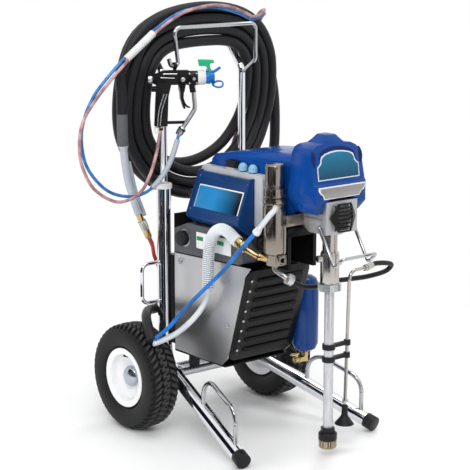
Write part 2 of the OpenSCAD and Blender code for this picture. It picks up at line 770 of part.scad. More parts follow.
// The black double clip that ties the drain tube to the suction tube
clip_z = [232, 262];
clip_h = 13;
module tube_clip() {
  part(black) for (z = clip_z) {
    x = drain_foot.x + (z - drain_foot.z) * (drain_knee.x - drain_foot.x) / (drain_knee.z - drain_foot.z);
    difference() {
      union() {
        translate([pump_c.x, pump_c.y, z]) cylinder(h = clip_h, r = suction_d / 2 + 4);
        translate([x, pump_c.y, z]) cylinder(h = clip_h, r = drain_d / 2 + 4);
        translate([pump_c.x, pump_c.y - 5, z + 2]) cube([x, 10, clip_h - 4]);
      }
      translate([pump_c.x, pump_c.y, z - 1]) cylinder(h = clip_h + 2, r = suction_d / 2);
      bar(drain_foot, drain_knee, drain_d / 2);
    }
  }
}

// The pail hook: a wire bow that hangs from two holes in the gear housing
hook_x = 53;
hook_heel = [-539, 475];
hook_lip = [-565, 500];
module pail_hook() {
  half = [
    [40, hook_pivot.x, hook_pivot.y], [hook_x, hook_pivot.x, hook_pivot.y],
    [hook_x, hook_heel.x, hook_heel.y], [hook_x, hook_lip.x, hook_lip.y]
  ];
  part(chrome) bent_rod(concat(half, [for (p = backwards(half)) flip(p)]), [4.4, 8, 8, 8, 8, 4.4], hook_wire_r);
}

// ---- Filter ----

filter_c = [-101, -389];
bowl_z = [493, 619];
port_z = 480;
port_r = 5.9;

// The filter's pillar, its lower manifold with the outlet, and the arm that bolts it to the housing
module filter_bowl() {
  r = filter_d / 2;
  part(nickel) difference() {
    union() {
      translate([filter_c.x, filter_c.y, 0]) rotate_extrude() polygon([
        [0, 466], [21, 466], [21, bowl_z[0] - 4], [r - 2, bowl_z[0]], [r, bowl_z[0] + 4],
        [r, 600], [r - 2, 604], [r - 2, 608], [r + 1, 612], [r + 1, bowl_z[1]], [0, bowl_z[1]]
      ]);
      block([filter_c.x, -430, 560], [-shroud_w / 2 - 4, -404, 586]);
      block([-shroud_w / 2 - 5, -430, 560], [-housing_half_w, shield_back, 586]);
      block([filter_c.x - 12, filter_c.y - 28, port_z - 12], [filter_c.x + 12, filter_c.y, port_z + 12]);
    }
    bar([filter_c.x, filter_c.y - 29, port_z], [filter_c.x, filter_c.y - 14, port_z], port_r);
    bar([prime_x, prime_y - 30, prime_z], [prime_x, -340, prime_z], 4 + run_gap);
  }
}
module filter_cap() {
  r = filter_d / 2 - 4.5;
  part(nickel) translate([filter_c.x, filter_c.y, 0]) difference() {
    rotate_extrude() polygon([
      [0, bowl_z[1]], [r + 3, bowl_z[1]], [r + 3, bowl_z[1] + 3], [r - 1, bowl_z[1] + 4], [r + 2, bowl_z[1] + 6],
      [r + 2, bowl_z[1] + 26], [r - 2, bowl_z[1] + 28], [r - 2, bowl_z[1] + 31], [r, bowl_z[1] + 33],
      [r, filter_top_z - 6], [r - 3, filter_top_z - 1], [r - 7, filter_top_z], [0, filter_top_z]
    ]);
    for (a = [0 : 30 : 330]) rotate([0, 0, a]) translate([r, -2.5, bowl_z[1] + 8]) cube([6, 5, 16]);
  }
}

prime_x = -108;
prime_y = -362;
prime_z = 512;
module prime_knob() {
  part(black) {
    bar([prime_x, prime_y - 16, prime_z], [prime_x, prime_y + 8, prime_z], 4);
    turned([prime_x, prime_y + 5, prime_z], [0, 1, 0], [
      [0, 0], [9, 0], [11, 4], [20, 6], [20, 17], [17, 20], [0, 20]
    ]);
    translate([prime_x - 3, prime_y + 24, prime_z - 17]) cube([6, 7, 34]);
  }
}

// ---- Control box ----

box_y = [-302, -112];
box_in_x = -90;
panel_a = [-101.5, 645];
panel_b = [-136, 556];
pressure_at = [-110, 592];
module control_box() {
  part(navy) difference() {
    union() {
      xz_plate(box_y[0], box_y[1], [
        [box_in_x, 650], [-98, 650], [-101, 647], [-137.5, 553], [-137, 545], [-112, 526], [-106, 523], [box_in_x, 522]
      ]);
      for (y = box_y) translate([0, y, 0]) xz_plate(-2.5, 2.5, [
        [box_in_x, 653], [-100, 653], [-103, 650], [-141, 553], [-139, 543], [-112, 522.5], [-106, 520.5], [box_in_x, 520.5]
      ]);
    }
    // the shallow panel in the slanted face
    n = unit([panel_a.y - panel_b.y, panel_b.x - panel_a.x]);
    a = panel_a + (panel_b - panel_a) * 0.1;
    b = panel_a + (panel_b - panel_a) * 0.86;
    xz_plate(-292, -126, [a - n * 4, b - n * 4, b + n * 1.5, a + n * 1.5]);
    bar([pressure_at.x, -135, pressure_at.y], [pressure_at.x, -100, pressure_at.y], 3 + run_gap);
  }
}
module pressure_knob() {
  y = box_y[1] + 3.5;
  part(black) {
    bar([pressure_at.x, y - 20, pressure_at.y], [pressure_at.x, y + 1, pressure_at.y], 3);
    difference() {
      turned([pressure_at.x, y, pressure_at.y], [0, 1, 0], [[0, 0], [11, 0], [11, 14], [9, 17], [0, 17]]);
      for (a = [0 : 30 : 330]) translate([pressure_at.x, y + 3, pressure_at.y]) rotate([0, a, 0])
        translate([10.4, 0, -1]) cube([2, 20, 2]);
    }
  }
}

// The slim housing between the control box and the motor, with the switch and the breakers on top
terminal_x = [-90, -shroud_w / 2];
terminal_top = 664;
switch_at = [-81, -213, 668];
button_y = [-254, -290];
button_top = 9;
module terminal_housing() {
  part("lightgray") difference() {
    union() {
      yz_plate(terminal_x[0], terminal_x[1], [
        [-333, 548], [-325, deck_z + 4], [-108, deck_z + 4], [-105, 550], [-105, 652], [-112, terminal_top],
        [-325, terminal_top], [-333, 655]
      ]);
      block([switch_at.x - 8, -228, terminal_top], [switch_at.x + 8, -198, 671]);
    }
    block([switch_at.x - 6.5, -223, 658], [switch_at.x + 6.5, -203, 680]);
    bar([switch_at.x, -226, switch_at.z], [switch_at.x, -200, switch_at.z], 1.5 + run_gap);
    for (y = button_y) bar([switch_at.x, y, terminal_top - 14], [switch_at.x, y, 680], 4 + run_gap);
  }
}
module power_switch() {
  part(black) {
    bar([switch_at.x, -226, switch_at.z], [switch_at.x, -200, switch_at.z], 1.5);
    translate([switch_at.x, 0, switch_at.z]) xz_plate(-222.4, -203.6, [[-4, -4], [4, -4], [5, 3], [0, 3.5], [-5.2, 6]]);
  }
}
// A domed push button of a circuit breaker, whose stem slides in the housing
module breaker_button(y) {
  part("lightsteelblue") turned([switch_at.x, y, terminal_top - 8], [0, 0, 1], [
    [0, 0], [4, 0], [4, 10.4], [8.5, 10.4], [8.5, 14], [7, 8 + button_top], [3.5, 10.5 + button_top], [0, 11 + button_top]
  ]);
}
module front_breaker() { breaker_button(button_y[1]); }
module rear_breaker() { breaker_button(button_y[0]); }

// ---- Hoses of the machine ----

// From the drain tube's crimp, out to the right, round and back behind the pump to the filter
drain_route = [
  crimp_end, [160, -458, 443], [196, -455, 438], [222, -447, 428], [212, -436, 412], [160, -430, 406],
  [100, -428, 408], [55, -428, 410], [0, -428, 406], [-45, -430, 412], [-72, -432, 424], [-84, -430, 432]
];
module drain_hose() { part(black) tube(drain_route, 12, 2); }

// The blue and the white air hoses on the left side
blue_route = [
  [-152, -384, 548], [-158, -366, 528], [-164, -325, 485], [-165, -279, 440], [-175, -240, 402],
  [-180, -190, 358], [-182, -145, 318], [-200, -116, 277], [-226, -103, 254], [-236, -99, 250]
];
braided_route = [[-119, -411, 604], [-128, -422, 603], [-142, -420, 592], [-149, -404, 570], [-152, -384, 548]];
white_route = [
  [-150, -205, 385], [-150, -203, 372], [-150, -188, 340], [-155, -156, 300], [-176, -122, 262],
  [-212, -104, 243], [-235, -98, 238]
];
module air_hoses() {
  part(royal) tube(blue_route, 10, 3);
  part("white") tube(braided_route, 13, 3);
  part("white") tube(white_route, 14, 3);
}

// The white ribbed hose: an arch from the left side down to the smooth hose, open inside
ribs = 52;
rib_d = [28, 23];
rib_bore = 17;
ribbed_route = [
  [-150, -316, 514], [-150, -306, 518], [-150, -280, 531], [-150, -254, 534], [-150, -228, 520],
  [-150, -212, 490], [-150, -206, 450], [-150, -205, 410], [-150, -205, 385]
];
function along(p, t) = let (i = min(len(p) - 2, floor(t * (len(p) - 1)))) on_curve(p, i, t * (len(p) - 1) - i);
module ribbed_hose() {
  n = 2 * ribs;
  route = [for (i = [0 : n]) along(ribbed_route, i / n)];
  outer = rings(route, [for (i = [0 : n]) rib_d[i % 2] / 2], 8);
  inner = rings(smooth(ribbed_route, 2), same(2 * len(ribbed_route) - 1, rib_bore / 2), 8);
  part("white") skin(concat(outer, backwards(inner)), looped = true);
}

// The black sleeve that takes the hoses over the tyre and behind the left post
sleeve_route = [
  [-238, -98, 244], [-233, -84, 255], [-222, -60, 272], [-205, -30, 283], [-180, 2, 285],
  [-155, 26, 284], [-130, 33, 283], [-112, 33, 286], [-104, 33, 292], [-102, 33, 304]
];
sleeve_d = 24;
module hose_sleeve() { part(black) tube(sleeve_route, sleeve_d, 3); }

// Unions on the machine's own hoses
module air_fittings() {
  part("goldenrod") {
    difference() {
      union() {
        bar([-150, -316, 514], [-150, -328, 507], 12);
        hex([-150, -328, 507], [-148, -340, 500], 22);
        bar([-148, -340, 500], [-134, -368, 486], 7);
        bar([-134, -368, 486], [-108, -386, 478], 9);
      }
      translate([filter_c.x, filter_c.y, 400]) cylinder(h = bowl_z[0] - 4 - 400, r = 21);
      translate([filter_c.x, filter_c.y, bowl_z[0] - 4]) cylinder(h = 40, r = filter_d / 2);
      block([filter_c.x - 12, filter_c.y - 40, port_z - 12], [filter_c.x + 30, filter_c.y + 40, port_z + 12]);
    }
    difference() {
      bar([-112, -403, 604], [-119, -411, 604], 8);
      translate([filter_c.x, filter_c.y, 500]) cylinder(h = 104.5, r = filter_d / 2);
      translate([filter_c.x, filter_c.y, 500]) cylinder(h = 200, r = filter_d / 2 + 1);
    }
    difference() {
      union() {
        hex([-84, -430, 432], [-98, -427, 440], 22);
        bent_rod([[-96, -427, 439], [-101, -421, 443], [-101, -389, 452], [-101, -389, 466]], 8, 6);
      }
      bar(drain_route[len(drain_route) - 2], [-84, -430, 432], 6);
    }
  }
}

// ---- Handle ----

handle_low_z = 446;
handle_knee = [post_x, 0, handle_bend_z];
handle_corner = [post_x, handle_top_y, handle_top_z];
half_handle = [[post_x, 0, handle_low_z], handle_knee, handle_corner];
rack_y = -50;
rack_top_z = 990;
rack_half = 128;
rack_r = rack_d / 2;
catch_z = 899;

module handle_tube() {
  part(chrome) bent_rod(concat(half_handle, [for (p = backwards(half_handle)) flip(p)]), 26, handle_d / 2);
}

// The wire on the right upright, over which the hose hangs, and its hook for the gun
module hose_rack() {
  part(chrome) difference() {
    bent_rod([
      [post_x, 0, 862], [rack_half, rack_y, 900], [rack_half, rack_y, rack_top_z],
      [-rack_half, rack_y, rack_top_z], [-115.4, rack_y, catch_z], [-138, rack_y, catch_z], [-144, rack_y, 916]
    ], [16, 16, 16, 9, 8], rack_r);
    bar([post_x, 0, 800], handle_knee, handle_d / 2);
  }
}

// ---- Paint hose ----

coil_x = 6;
coil_start = 150;
turn_back = coil_turns - 1 / 3;
rear_turns = 2 - 1 / 3;
coil_loops = turn_back + rear_turns;
loop_rings = 24;
turn_step = hose_d + 2.75;
layer_step = 27.5;

// How far the hose has climbed to the rear layer, how far it has then moved out again there, and how many
// turns it lies inside the outer one
function eased(s, from, to) = let (t = min(1, max(0, (s - from) / (to - from)))) t * t * (3 - 2 * t);
function climb(s) = eased(s, turn_back - 0.37, turn_back - 0.02);
function turns_in(s) =
  let (outward = eased(s, turn_back - 0.09, turn_back + 0.35))
  s * (1 - outward) + (coil_loops - 0.143 - s) * outward;
function wrapped(a) = a - 360 * floor(a / 360);
function bell(a, at) = exp(-((wrapped(a) - at) / 26)^2);

// The turns rise where they cross the leaning tubes of the handle, and lean back towards the bottom
function coil_point(s) =
  let (
    a = coil_start - 360 * s,
    k = turns_in(s),
    lift = (bell(a, 47) + bell(a, 138)) * (25 + 3.1 * min(k, 3.3)),
    r = coil_r - k * (turn_step + 3.5 * sin(a)^2) + lift,
    z = coil_z + r * sin(a),
    lean = min(1, max(0, (z - 720) / 180))
  )
  [coil_x + r * cos(a), 34 - 25 * lean + layer_step * climb(s), z];
coil_turns_line = [for (i = [0 : round(coil_loops * loop_rings)]) coil_point(i / loop_rings)];
coil_n = len(coil_turns_line);
coil_in_dir = unit(coil_turns_line[1] - coil_turns_line[0]);
coil_out_dir = unit(coil_turns_line[coil_n - 1] - coil_turns_line[coil_n - 2]);
coil_route = concat(
  [coil_turns_line[0] - coil_in_dir * hose_d], coil_turns_line, [coil_turns_line[coil_n - 1] + coil_out_dir * hose_d]
);
coil_in = coil_route[0];
coil_out = coil_route[coil_n + 1];
module hose_coil() { part(black) skin(rings(coil_route, same(len(coil_route), hose_d / 2), 6, [0, 1, 0])); }

function length_of(p) = [for (i = [1 : len(p) - 1]) norm(p[i] - p[i - 1])] * same(len(p) - 1, 1);
function least_gap(p, apart) = min([for (i = [0 : len(p) - 1 - apart], j = [i + apart : len(p) - 1]) norm(p[i] - p[j])]);
echo(coil_length = length_of(coil_route), coil_least_gap = least_gap(coil_route, loop_rings / 2) - hose_d);

// The two ends of the paint hose: down to the left post, and round behind the motor on the right
left_tail = [
  coil_in, coil_in - coil_in_dir * 22, [-241, 10, 832], [-242, 8, 783], [-239, 9, 706], [-222, 14, 620], [-192, 16, 537]
];
right_tail = [
  coil_out, coil_out + coil_out_dir * 22, [266, 38, 800], [269, 36, 720], [266, 38, 640], [250, 44, 585],
  [215, 52, 556], [180, 64, 560], [166, 74, 590]
];
sleeve_part = 0.62;
tail_sleeve_r = 9.5;
module tail(p) {
  route = smooth(p, 4);
  n = len(route);
  skin(rings(route, [for (i = [0 : n - 1]) i < sleeve_part * n ? hose_d / 2 : tail_sleeve_r], 10));
}
module hose_tails() {
  part(black) tail(left_tail);
  part(black) tail(right_tail);
}
link_top = [-148, 20, 453];
module hose_fittings() {
  part("goldenrod") {
    bar([-192, 16, 537], [-181, 17, 517], 8);
    hex([-181, 17, 517], [-169, 18.6, 495], 17);
    bar([-169, 18.6, 495], [-158, 20, 473], 9);
    bar([-158, 20, 473], link_top + [-0.8, 0, 1.6], 5);
    bar([166, 74, 590], [164, 78, 604], 8);
  }
}
link_route = [link_top, [-143, 23, 441], [-132, 32, 418], [-116, 36, 388], [-106, 35, 356], [-102, 33, 326], [-102, 33, 304]];
module link_hose() { part("firebrick") tube(link_route, 10, 3); }

// The blue and the pink air line: up behind the coil, over its top and down to the gun
blue_line = [
  [164, 78, 604], [169, 84, 628], [192, 87, 680], [226, 86, 760], [240, 80, 850], [234, 72, 930], [214, 64, 990],
  [192, 50, 1024], [174, 22, 1040], [157, -9, 1022], [120, -12, 1014], [60, -12, 1026], [0, -12, 1032], [-80, -12, 1022],
  [-165, -12, 980], [-247, -16, 924], [-300, -22, 884], [-348, -30, 842], [-382, -36, 790], [-393, -40, 736],
  [-378, -42, 674], [-325, -42, 617], [-262, -44, 595], [-214, -50, 602], [-178, -58, 632], [-150, -64, 676], [-127, -66, 737]
];
pink_line = [
  [158, 80, 600], [160, 92, 630], [183, 97, 684], [216, 97, 762], [230, 91, 850], [224, 83, 928], [206, 75, 986],
  [190, 62, 1026], [182, 26, 1054], [162, -18, 1031], [120, -21, 1016], [60, -21, 1028], [-2, -21, 1034], [-82, -21, 1020],
  [-169, -21, 974], [-250, -25, 914], [-304, -31, 872], [-354, -40, 830], [-392, -45, 784], [-405, -49, 730],
  [-398, -50, 680], [-366, -52, 624], [-302, -54, 588], [-243, -58, 602], [-214, -62, 642], [-189, -57, 694], [-167, -44, 746]
];
module whip_lines() {
  part("cornflowerblue") tube(blue_line, line_d, 3, 8);
  part("rosybrown") tube(pink_line, line_d, 3, 8);
}

// ---- Spray gun ----

gun_at = [-140, -58, 873];
gun_turn = -30;
gun_half = gun_len / 2;
trigger_at = [23, -10];
trigger_r = 2.5;
tip_x = 88;
module at_gun(c) { part(c) translate(gun_at) rotate([0, 0, gun_turn]) children(); }

module gun_body() {
  grip_z = -14 - grip_len;
  at_gun(black) difference() {
    union() {
      xz_plate(-12, 12, [
        [-gun_half, -14], [-40, -17], [36, -17], [gun_half, -12], [gun_half, 12], [38, 17], [-18, 17], [-gun_half, 6]
      ]);
      bar([gun_half - 1, 0, 0], [gun_half + 12, 0, 0], 12);
      intersection() {
        xz_plate(-13, 13, [[-38, -12], [-3, -12], [-11, -44], [-14, grip_z], [-44, grip_z], [-41, -60]]);
        translate([0, 0, grip_z]) linear_extrude(120) {
          translate([-36, -13]) square([60, 26]);
          translate([-60, -7]) square([60, 14]);
          translate([-36, 0]) circle(r = 13);
        }
      }
      bar([gun_half - 1, 0, -8], [50, 0, -36], 7.5);
      bent_rod([[51, 0, -32], [55, 0, -76], [22, 0, -126]], 14, 5);
      bar([24, 0, -123], [16, 0, -134], 8);
      block([-30, -3, grip_z + 4], [34, 3, grip_z + 11]);
      bar([-gun_half - 3, 0, -27], [-34, 0, -27], 7);
      bar([-30, 0, grip_z - 10], [-30, 0, grip_z], 7);
    }
    bar([trigger_at.x, -20, trigger_at.y], [trigger_at.x, 20, trigger_at.y], trigger_r + run_gap);
    bar([-gun_half - 1, 0, -4], [-gun_half + 12, 0, -4], 3 + run_gap);
  }
  // the eye that hangs over the rack's hook
  part(steel) difference() {
    union() {
      bar([-131, rack_y, catch_z], [-125, rack_y, catch_z], rack_r + 4);
      block([-131, rack_y - 4, gun_at.z + 16], [-125, rack_y + 3, catch_z - 3]);
    }
    bar([-135, rack_y, catch_z], [-120, rack_y, catch_z], rack_r);
    block([-135, rack_y + 1, catch_z - 20], [-120, rack_y + 12, catch_z - 1]);
    translate(gun_at) rotate([0, 0, gun_turn]) block([-gun_half, -12, -17], [gun_half, 12, 17]);
  }
}
module gun_trigger() {
  at_gun(steel) {
    bar([trigger_at.x, -16, trigger_at.y], [trigger_at.x, 16, trigger_at.y], trigger_r);
    for (s = [-1, 1]) translate([0, s * 14.5, 0]) xz_plate(-1.5, 1.5, [
      [16, -4], [29, -4], [31, -14], [27, -34], [17, -34], [16, -20]
    ]);
    xz_plate(-14, 14, [[17, -24], [27, -24], [25, -50], [30, -74], [26, -75], [19, -52]]);
  }
}
module gun_fan_knob() {
  at_gun(steel) {
    bar([-gun_half - 1, 0, -4], [-gun_half + 10, 0, -4], 3);
    turned([-gun_half - 1, 0, -4], [-1, 0, 0], [[0, 0], [8, 0], [9, 2], [9, 11], [7, 13], [0, 13]]);
  }
}

// The white retaining ring with the blue guard, whose two ears stand in front of the tip
ring_x = gun_half + 12.3;
module gun_tip_guard() {
  at_gun("white") difference() {
    turned([ring_x, 0, 0], [1, 0, 0], [[0, 0], [17, 0], [18, 2], [18, 16], [16, 20], [0, 20]]);
    for (a = [0 : 45 : 315]) rotate([a, 0, 0]) translate([ring_x + 4, -1.5, 16.8]) cube([10, 3, 4]);
  }
  at_gun(royal) difference() {
    union() {
      turned([ring_x + 20, 0, 0], [1, 0, 0], [[0, 0], [14, 0], [14, 14], [10, 20], [0, 20]]);
      for (s = [-1, 1]) xz_plate(-8, 8, [
        [ring_x + 24, s * 7], [ring_x + 32, s * 7], [ring_x + 50, s * 15], [ring_x + 52, s * 20],
        [ring_x + 46, s * 20], [ring_x + 25, s * 12.5]
      ]);
    }
    bar([tip_x, 0, -20], [tip_x, 0, 20], 5 + run_gap);
    bar([tip_x, 0, 0], [tip_x + 30, 0, 0], 3);
  }
}
// The reversible tip: a barrel across the guard with a flat green flag to turn it by
module gun_tip() {
  at_gun("limegreen") {
    bar([tip_x, 0, -16], [tip_x, 0, 18], 5);
    bar([tip_x, 0, 17], [tip_x, 0, 21], 7.5);
    xz_plate(-3, 3, [
      [tip_x - 18, 20], [tip_x + 9, 20], [tip_x + 12, 30], [tip_x + 8, 36], [tip_x - 4, 38], [tip_x - 18, 34]
    ]);
  }
}

left_frame_tube();
right_frame_tube();
leg_caps();
post_collars();
guard_hoops();
cross_tube();
hose_bracket();
axle();
chassis();
left_tyre();
left_rim();
right_tyre();
right_rim();
left_side_panel();
right_side_panel();
louvre_cover();
air_console();
regulator_knob();
compressor();
air_tank();
tank_valve();
motor_shroud();
front_shield();
gear_housing();
rod_guard();
pump_cylinder();
pump_rod();
pump_nut();
suction_tube();
strainer();
drain_tube();
drain_deflector();
tube_clip();
pail_hook();
filter_bowl();
filter_cap();
air_fittings();
prime_knob();
control_box();
pressure_knob();
power_switch();
front_breaker();
rear_breaker();
terminal_housing();
drain_hose();
air_hoses();
ribbed_hose();
hose_sleeve();
handle_tube();
hose_rack();
hose_coil();
hose_tails();
hose_fittings();
link_hose();
whip_lines();
gun_body();
gun_trigger();
gun_fan_knob();
gun_tip_guard();
gun_tip();
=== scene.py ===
"""The looks of a cart mounted airless paint sprayer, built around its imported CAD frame."""
import math

import bmesh
import bpy
import numpy as np
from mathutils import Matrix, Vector


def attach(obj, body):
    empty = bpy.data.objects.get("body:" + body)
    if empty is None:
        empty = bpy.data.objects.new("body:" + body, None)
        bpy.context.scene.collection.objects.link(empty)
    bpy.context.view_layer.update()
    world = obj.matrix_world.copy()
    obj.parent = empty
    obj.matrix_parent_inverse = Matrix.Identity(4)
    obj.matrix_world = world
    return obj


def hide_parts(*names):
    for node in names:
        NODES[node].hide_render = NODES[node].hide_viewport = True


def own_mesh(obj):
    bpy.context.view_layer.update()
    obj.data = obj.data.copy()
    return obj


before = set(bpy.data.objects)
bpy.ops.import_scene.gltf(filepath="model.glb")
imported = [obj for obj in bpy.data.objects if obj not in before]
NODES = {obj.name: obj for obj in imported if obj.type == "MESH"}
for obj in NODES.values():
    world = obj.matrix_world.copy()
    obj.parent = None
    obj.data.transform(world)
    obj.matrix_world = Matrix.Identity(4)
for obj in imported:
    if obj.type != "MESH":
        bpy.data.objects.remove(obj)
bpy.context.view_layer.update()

MM = 0.001
AXLE_Y, AXLE_Z, WHEEL_X = 0.218, 0.133, 0.218


def at(points):
    """One point or several in millimetres from the middle of the axle line, as metres in the row frame."""
    return np.array(points, float) * MM + np.array([0.0, AXLE_Y, 0.0])


def unit(v):
    """Vectors along the last axis, brought to length 1."""
    return v / np.maximum(np.linalg.norm(v, axis=-1, keepdims=True), 1e-12)


# ---- shader nodes

def add_node(tree, kind, *sources, **values):
    """A shader node: sources go to its first inputs, each value to the property or input of its name. An
    input takes a link where the value is another node's output."""
    made = tree.nodes.new("ShaderNode" + kind)
    for key, value in (*enumerate(sources), *values.items()):
        if isinstance(key, str) and hasattr(made, key):
            setattr(made, key, value)
            continue
        socket = made.inputs[key.replace("_", " ") if isinstance(key, str) else key]
        if isinstance(value, bpy.types.NodeSocket):
            tree.links.new(value, socket)
        else:
            socket.default_value = value
    return made


def add_ramp(tree, source, *stops):
    """Colours or greys blended by the source; each stop is a position and its colour."""
    made = add_node(tree, "ValToRGB", source)
    elements = made.color_ramp.elements
    elements[0].position, elements[1].position = stops[0][0], stops[-1][0]
    for position, _ in stops[1:-1]:
        elements.new(position)
    for element, (_, colour) in zip(elements, stops):
        element.color = (*colour, 1) if isinstance(colour, tuple) else (colour, colour, colour, 1)
    return made.outputs["Color"]


def direct_rays(tree):
    """1 for the rays of the camera, gloss and glass, 0 for those that gather soft light."""
    path = add_node(tree, "LightPath")
    seen = path.outputs["Is Camera Ray"]
    for kind in ("Is Glossy Ray", "Is Transmission Ray"):
        seen = add_node(tree, "Math", seen, path.outputs[kind], operation="MAXIMUM").outputs[0]
    return seen


# ---- camera and stage

CAM_AZIMUTH, CAM_ELEVATION, CAM_DISTANCE = -39.69, 11.758, 4.0793
CAM_ACROSS, CAM_HEIGHT = 0.07946, 0.44988
LENS, SENSOR = 120.55, 36.0


def aimed_object(name, data, place, direction):
    """An object at place that looks along a direction."""
    obj = bpy.data.objects.new(name, data)
    obj.location = place
    obj.rotation_mode = "QUATERNION"
    obj.rotation_quaternion = direction.to_track_quat("-Z", "Y")
    bpy.context.scene.collection.objects.link(obj)
    return obj


def add_camera():
    """The camera looks along the given azimuth and elevation; its aim is offset across and upwards."""
    a, e = math.radians(CAM_AZIMUTH), math.radians(CAM_ELEVATION)
    back = Vector((math.sin(a) * math.cos(e), -math.cos(a) * math.cos(e), math.sin(e)))
    right = Vector((math.cos(a), math.sin(a), 0.0))
    up = back.cross(right)
    data = bpy.data.cameras.new("camera")
    data.lens, data.sensor_width = LENS, SENSOR
    data.clip_start, data.clip_end = 0.05, 60.0
    place = right * CAM_ACROSS + up * CAM_HEIGHT + back * CAM_DISTANCE + Vector((0, AXLE_Y, 0))
    bpy.context.scene.camera = aimed_object("camera", data, place, -back)


# soft lamps: name, place, aim, size, watts, whether gloss mirrors it
LAMPS = [
    ("key", (-2.4, -2.6, 3.0), (0, 0, 0.5), (1.6, 1.6), 70, True),
    ("rim", (2.6, 1.4, 2.2), (0, 0, 0.5), (1.0, 1.8), 36, False),
    ("top", (0.2, -0.6, 3.4), (0, 0, 0.4), (2.2, 1.2), 34, True),
    ("side", (-3.2, 0.2, 1.1), (0, 0.1, 0.35), (1.4, 1.2), 26, True),
]

# dark cards that only reflections see, as bands in polished metal: name, centre, half width, half height
FLAGS = [
    ("flag_left", (-1.45, 0.34, 0.75), (0.0, 1.09, 0), 0.75),
    ("flag_near", (-1.12, -1.10, 0.75), (0.30, -0.33, 0), 0.75),
    ("flag_front", (0.80, -1.55, 0.75), (0.13, 0.06, 0), 0.75),
    ("flag_high", (-1.6, -1.9, 1.9), (1.1, -0.95, 0), 0.4),
]
FLOOR_HALF, FLOOR_Z = 40.0, -0.0006
SHADOW_NEAR, SHADOW_FAR = 0.55, 1.5


def add_stage():
    """A pale world that is plain white to the camera and to gloss, with lamps, a white floor and dark cards."""
    scene = bpy.context.scene
    scene.view_settings.view_transform = "Standard"
    world = bpy.data.worlds.new("studio")
    scene.world = world
    world.use_nodes = True
    tree = world.node_tree
    tree.nodes.clear()
    height = add_node(tree, "SeparateXYZ", add_node(tree, "TexCoord").outputs["Generated"]).outputs[2]
    sky = add_ramp(tree, height, (0.0, (0.55, 0.57, 0.6)), (0.75, (1, 1, 1)))
    fill = add_node(tree, "Background", sky, 0.62)
    plain = add_node(tree, "Background", (1, 1, 1, 1), 1.0)
    mix = add_node(tree, "MixShader", direct_rays(tree), fill.outputs[0], plain.outputs[0])
    add_node(tree, "OutputWorld", mix.outputs[0])
    for name, place, aim, size, watts, mirrored_in_gloss in LAMPS:
        data = bpy.data.lights.new(name, "AREA")
        data.shape, data.size, data.size_y = "RECTANGLE", *size
        data.energy = watts
        lamp = aimed_object(name, data, place, Vector(aim) - Vector(place))
        lamp.visible_glossy = mirrored_in_gloss
    h, z = FLOOR_HALF, FLOOR_Z
    add_card("floor", [(-h, -h, z), (h, -h, z), (h, h, z), (-h, h, z)], white_ground())
    for name, centre, across, tall in FLAGS:
        c, s, u = np.array(centre), np.array(across), np.array([0, 0, tall])
        dark = Finish(name, (0.006, 0.008, 0.018), 0.9, Specular_IOR_Level=0.0).mat
        add_card(name, [c - s - u, c + s - u, c + s + u, c - s + u], dark, only_reflected=True)


def add_card(name, corners, mat, only_reflected=False):
    """A flat piece of the stage with four corners."""
    card = new_mesh(name, corners, [(0, 1, 2, 3)])
    card.data.materials.append(mat)
    if only_reflected:
        card.visible_camera = card.visible_diffuse = card.visible_shadow = False


def white_ground():
    """Near the object a pale matt floor that takes the shadow; further off plain white for the rays of
    the camera, gloss and glass, blended by the distance from the middle."""
    f = Finish("floor", (0.97, 0.97, 0.97), 0.6, Specular_IOR_Level=0.5)
    size = f.node("VectorMath", f.place(), operation="LENGTH").outputs["Value"]
    far = f.node("MapRange", size, From_Min=SHADOW_NEAR, From_Max=SHADOW_FAR, interpolation_type="SMOOTHSTEP")
    share = f.calc("MULTIPLY", far.outputs["Result"], direct_rays(f.tree))
    mix = f.node("MixShader", share, f.shader.outputs[0], f.node("Emission").outputs[0])
    f.tree.links.new(mix.outputs[0], f.tree.nodes["Material Output"].inputs[0])
    return f.mat


# ---- meshes from formulas

def new_mesh(name, points, faces, uv=None):
    """A smooth mesh object from points and faces; uv gives one pair per point."""
    me = bpy.data.meshes.new(name)
    points = np.asarray(points, float)
    me.from_pydata(points.tolist(), [], [tuple(int(i) for i in f) for f in faces])
    me.polygons.foreach_set("use_smooth", np.full(len(me.polygons), True))
    if uv is not None:
        layer = me.uv_layers.new(name="along")
        index = np.zeros(len(me.loops), np.int32)
        me.loops.foreach_get("vertex_index", index)
        layer.data.foreach_set("uv", np.asarray(uv, float)[index].ravel())
    me.update()
    obj = bpy.data.objects.new(name, me)
    bpy.context.scene.collection.objects.link(obj)
    return obj


def merge(obj, distance):
    """Joins points that lie on each other and turns all faces outwards."""
    bm = bmesh.new()
    bm.from_mesh(obj.data)
    bmesh.ops.remove_doubles(bm, verts=bm.verts, dist=distance)
    bmesh.ops.recalc_face_normals(bm, faces=bm.faces)
    bm.to_mesh(obj.data)
    bm.free()


def soften(obj, sharp, bevel=None, bevel_angle=38):
    """Rounds the edges past one angle and splits the shading at those past the other."""
    if bevel:
        mod = obj.modifiers.new("edge", "BEVEL")
        mod.width, mod.segments, mod.limit_method, mod.angle_limit = bevel, 2, "ANGLE", math.radians(bevel_angle)
    mod = obj.modifiers.new("split", "EDGE_SPLIT")
    mod.split_angle = math.radians(sharp)


def finish_piece(obj, wear, sharp, bevel=None, stands_for=()):
    """Finishes a piece. Its wear names the body that it rides, a slot that is not used, and its looks."""
    body, slot, *looks = wear.split()
    for look in looks:
        obj.data.materials.append(LOOKS[look])
    soften(obj, sharp, bevel)
    if stands_for:
        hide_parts(*stands_for)
    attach(obj, body)
    return obj


def add_piece(name, mesh, wear, sharp, bevel=None, stands_for=(), distance=1e-5):
    """A finished piece from points, faces and perhaps uv, with its doubled points joined."""
    obj = new_mesh(name, *mesh)
    merge(obj, distance)
    return finish_piece(obj, wear, sharp, bevel, stands_for)


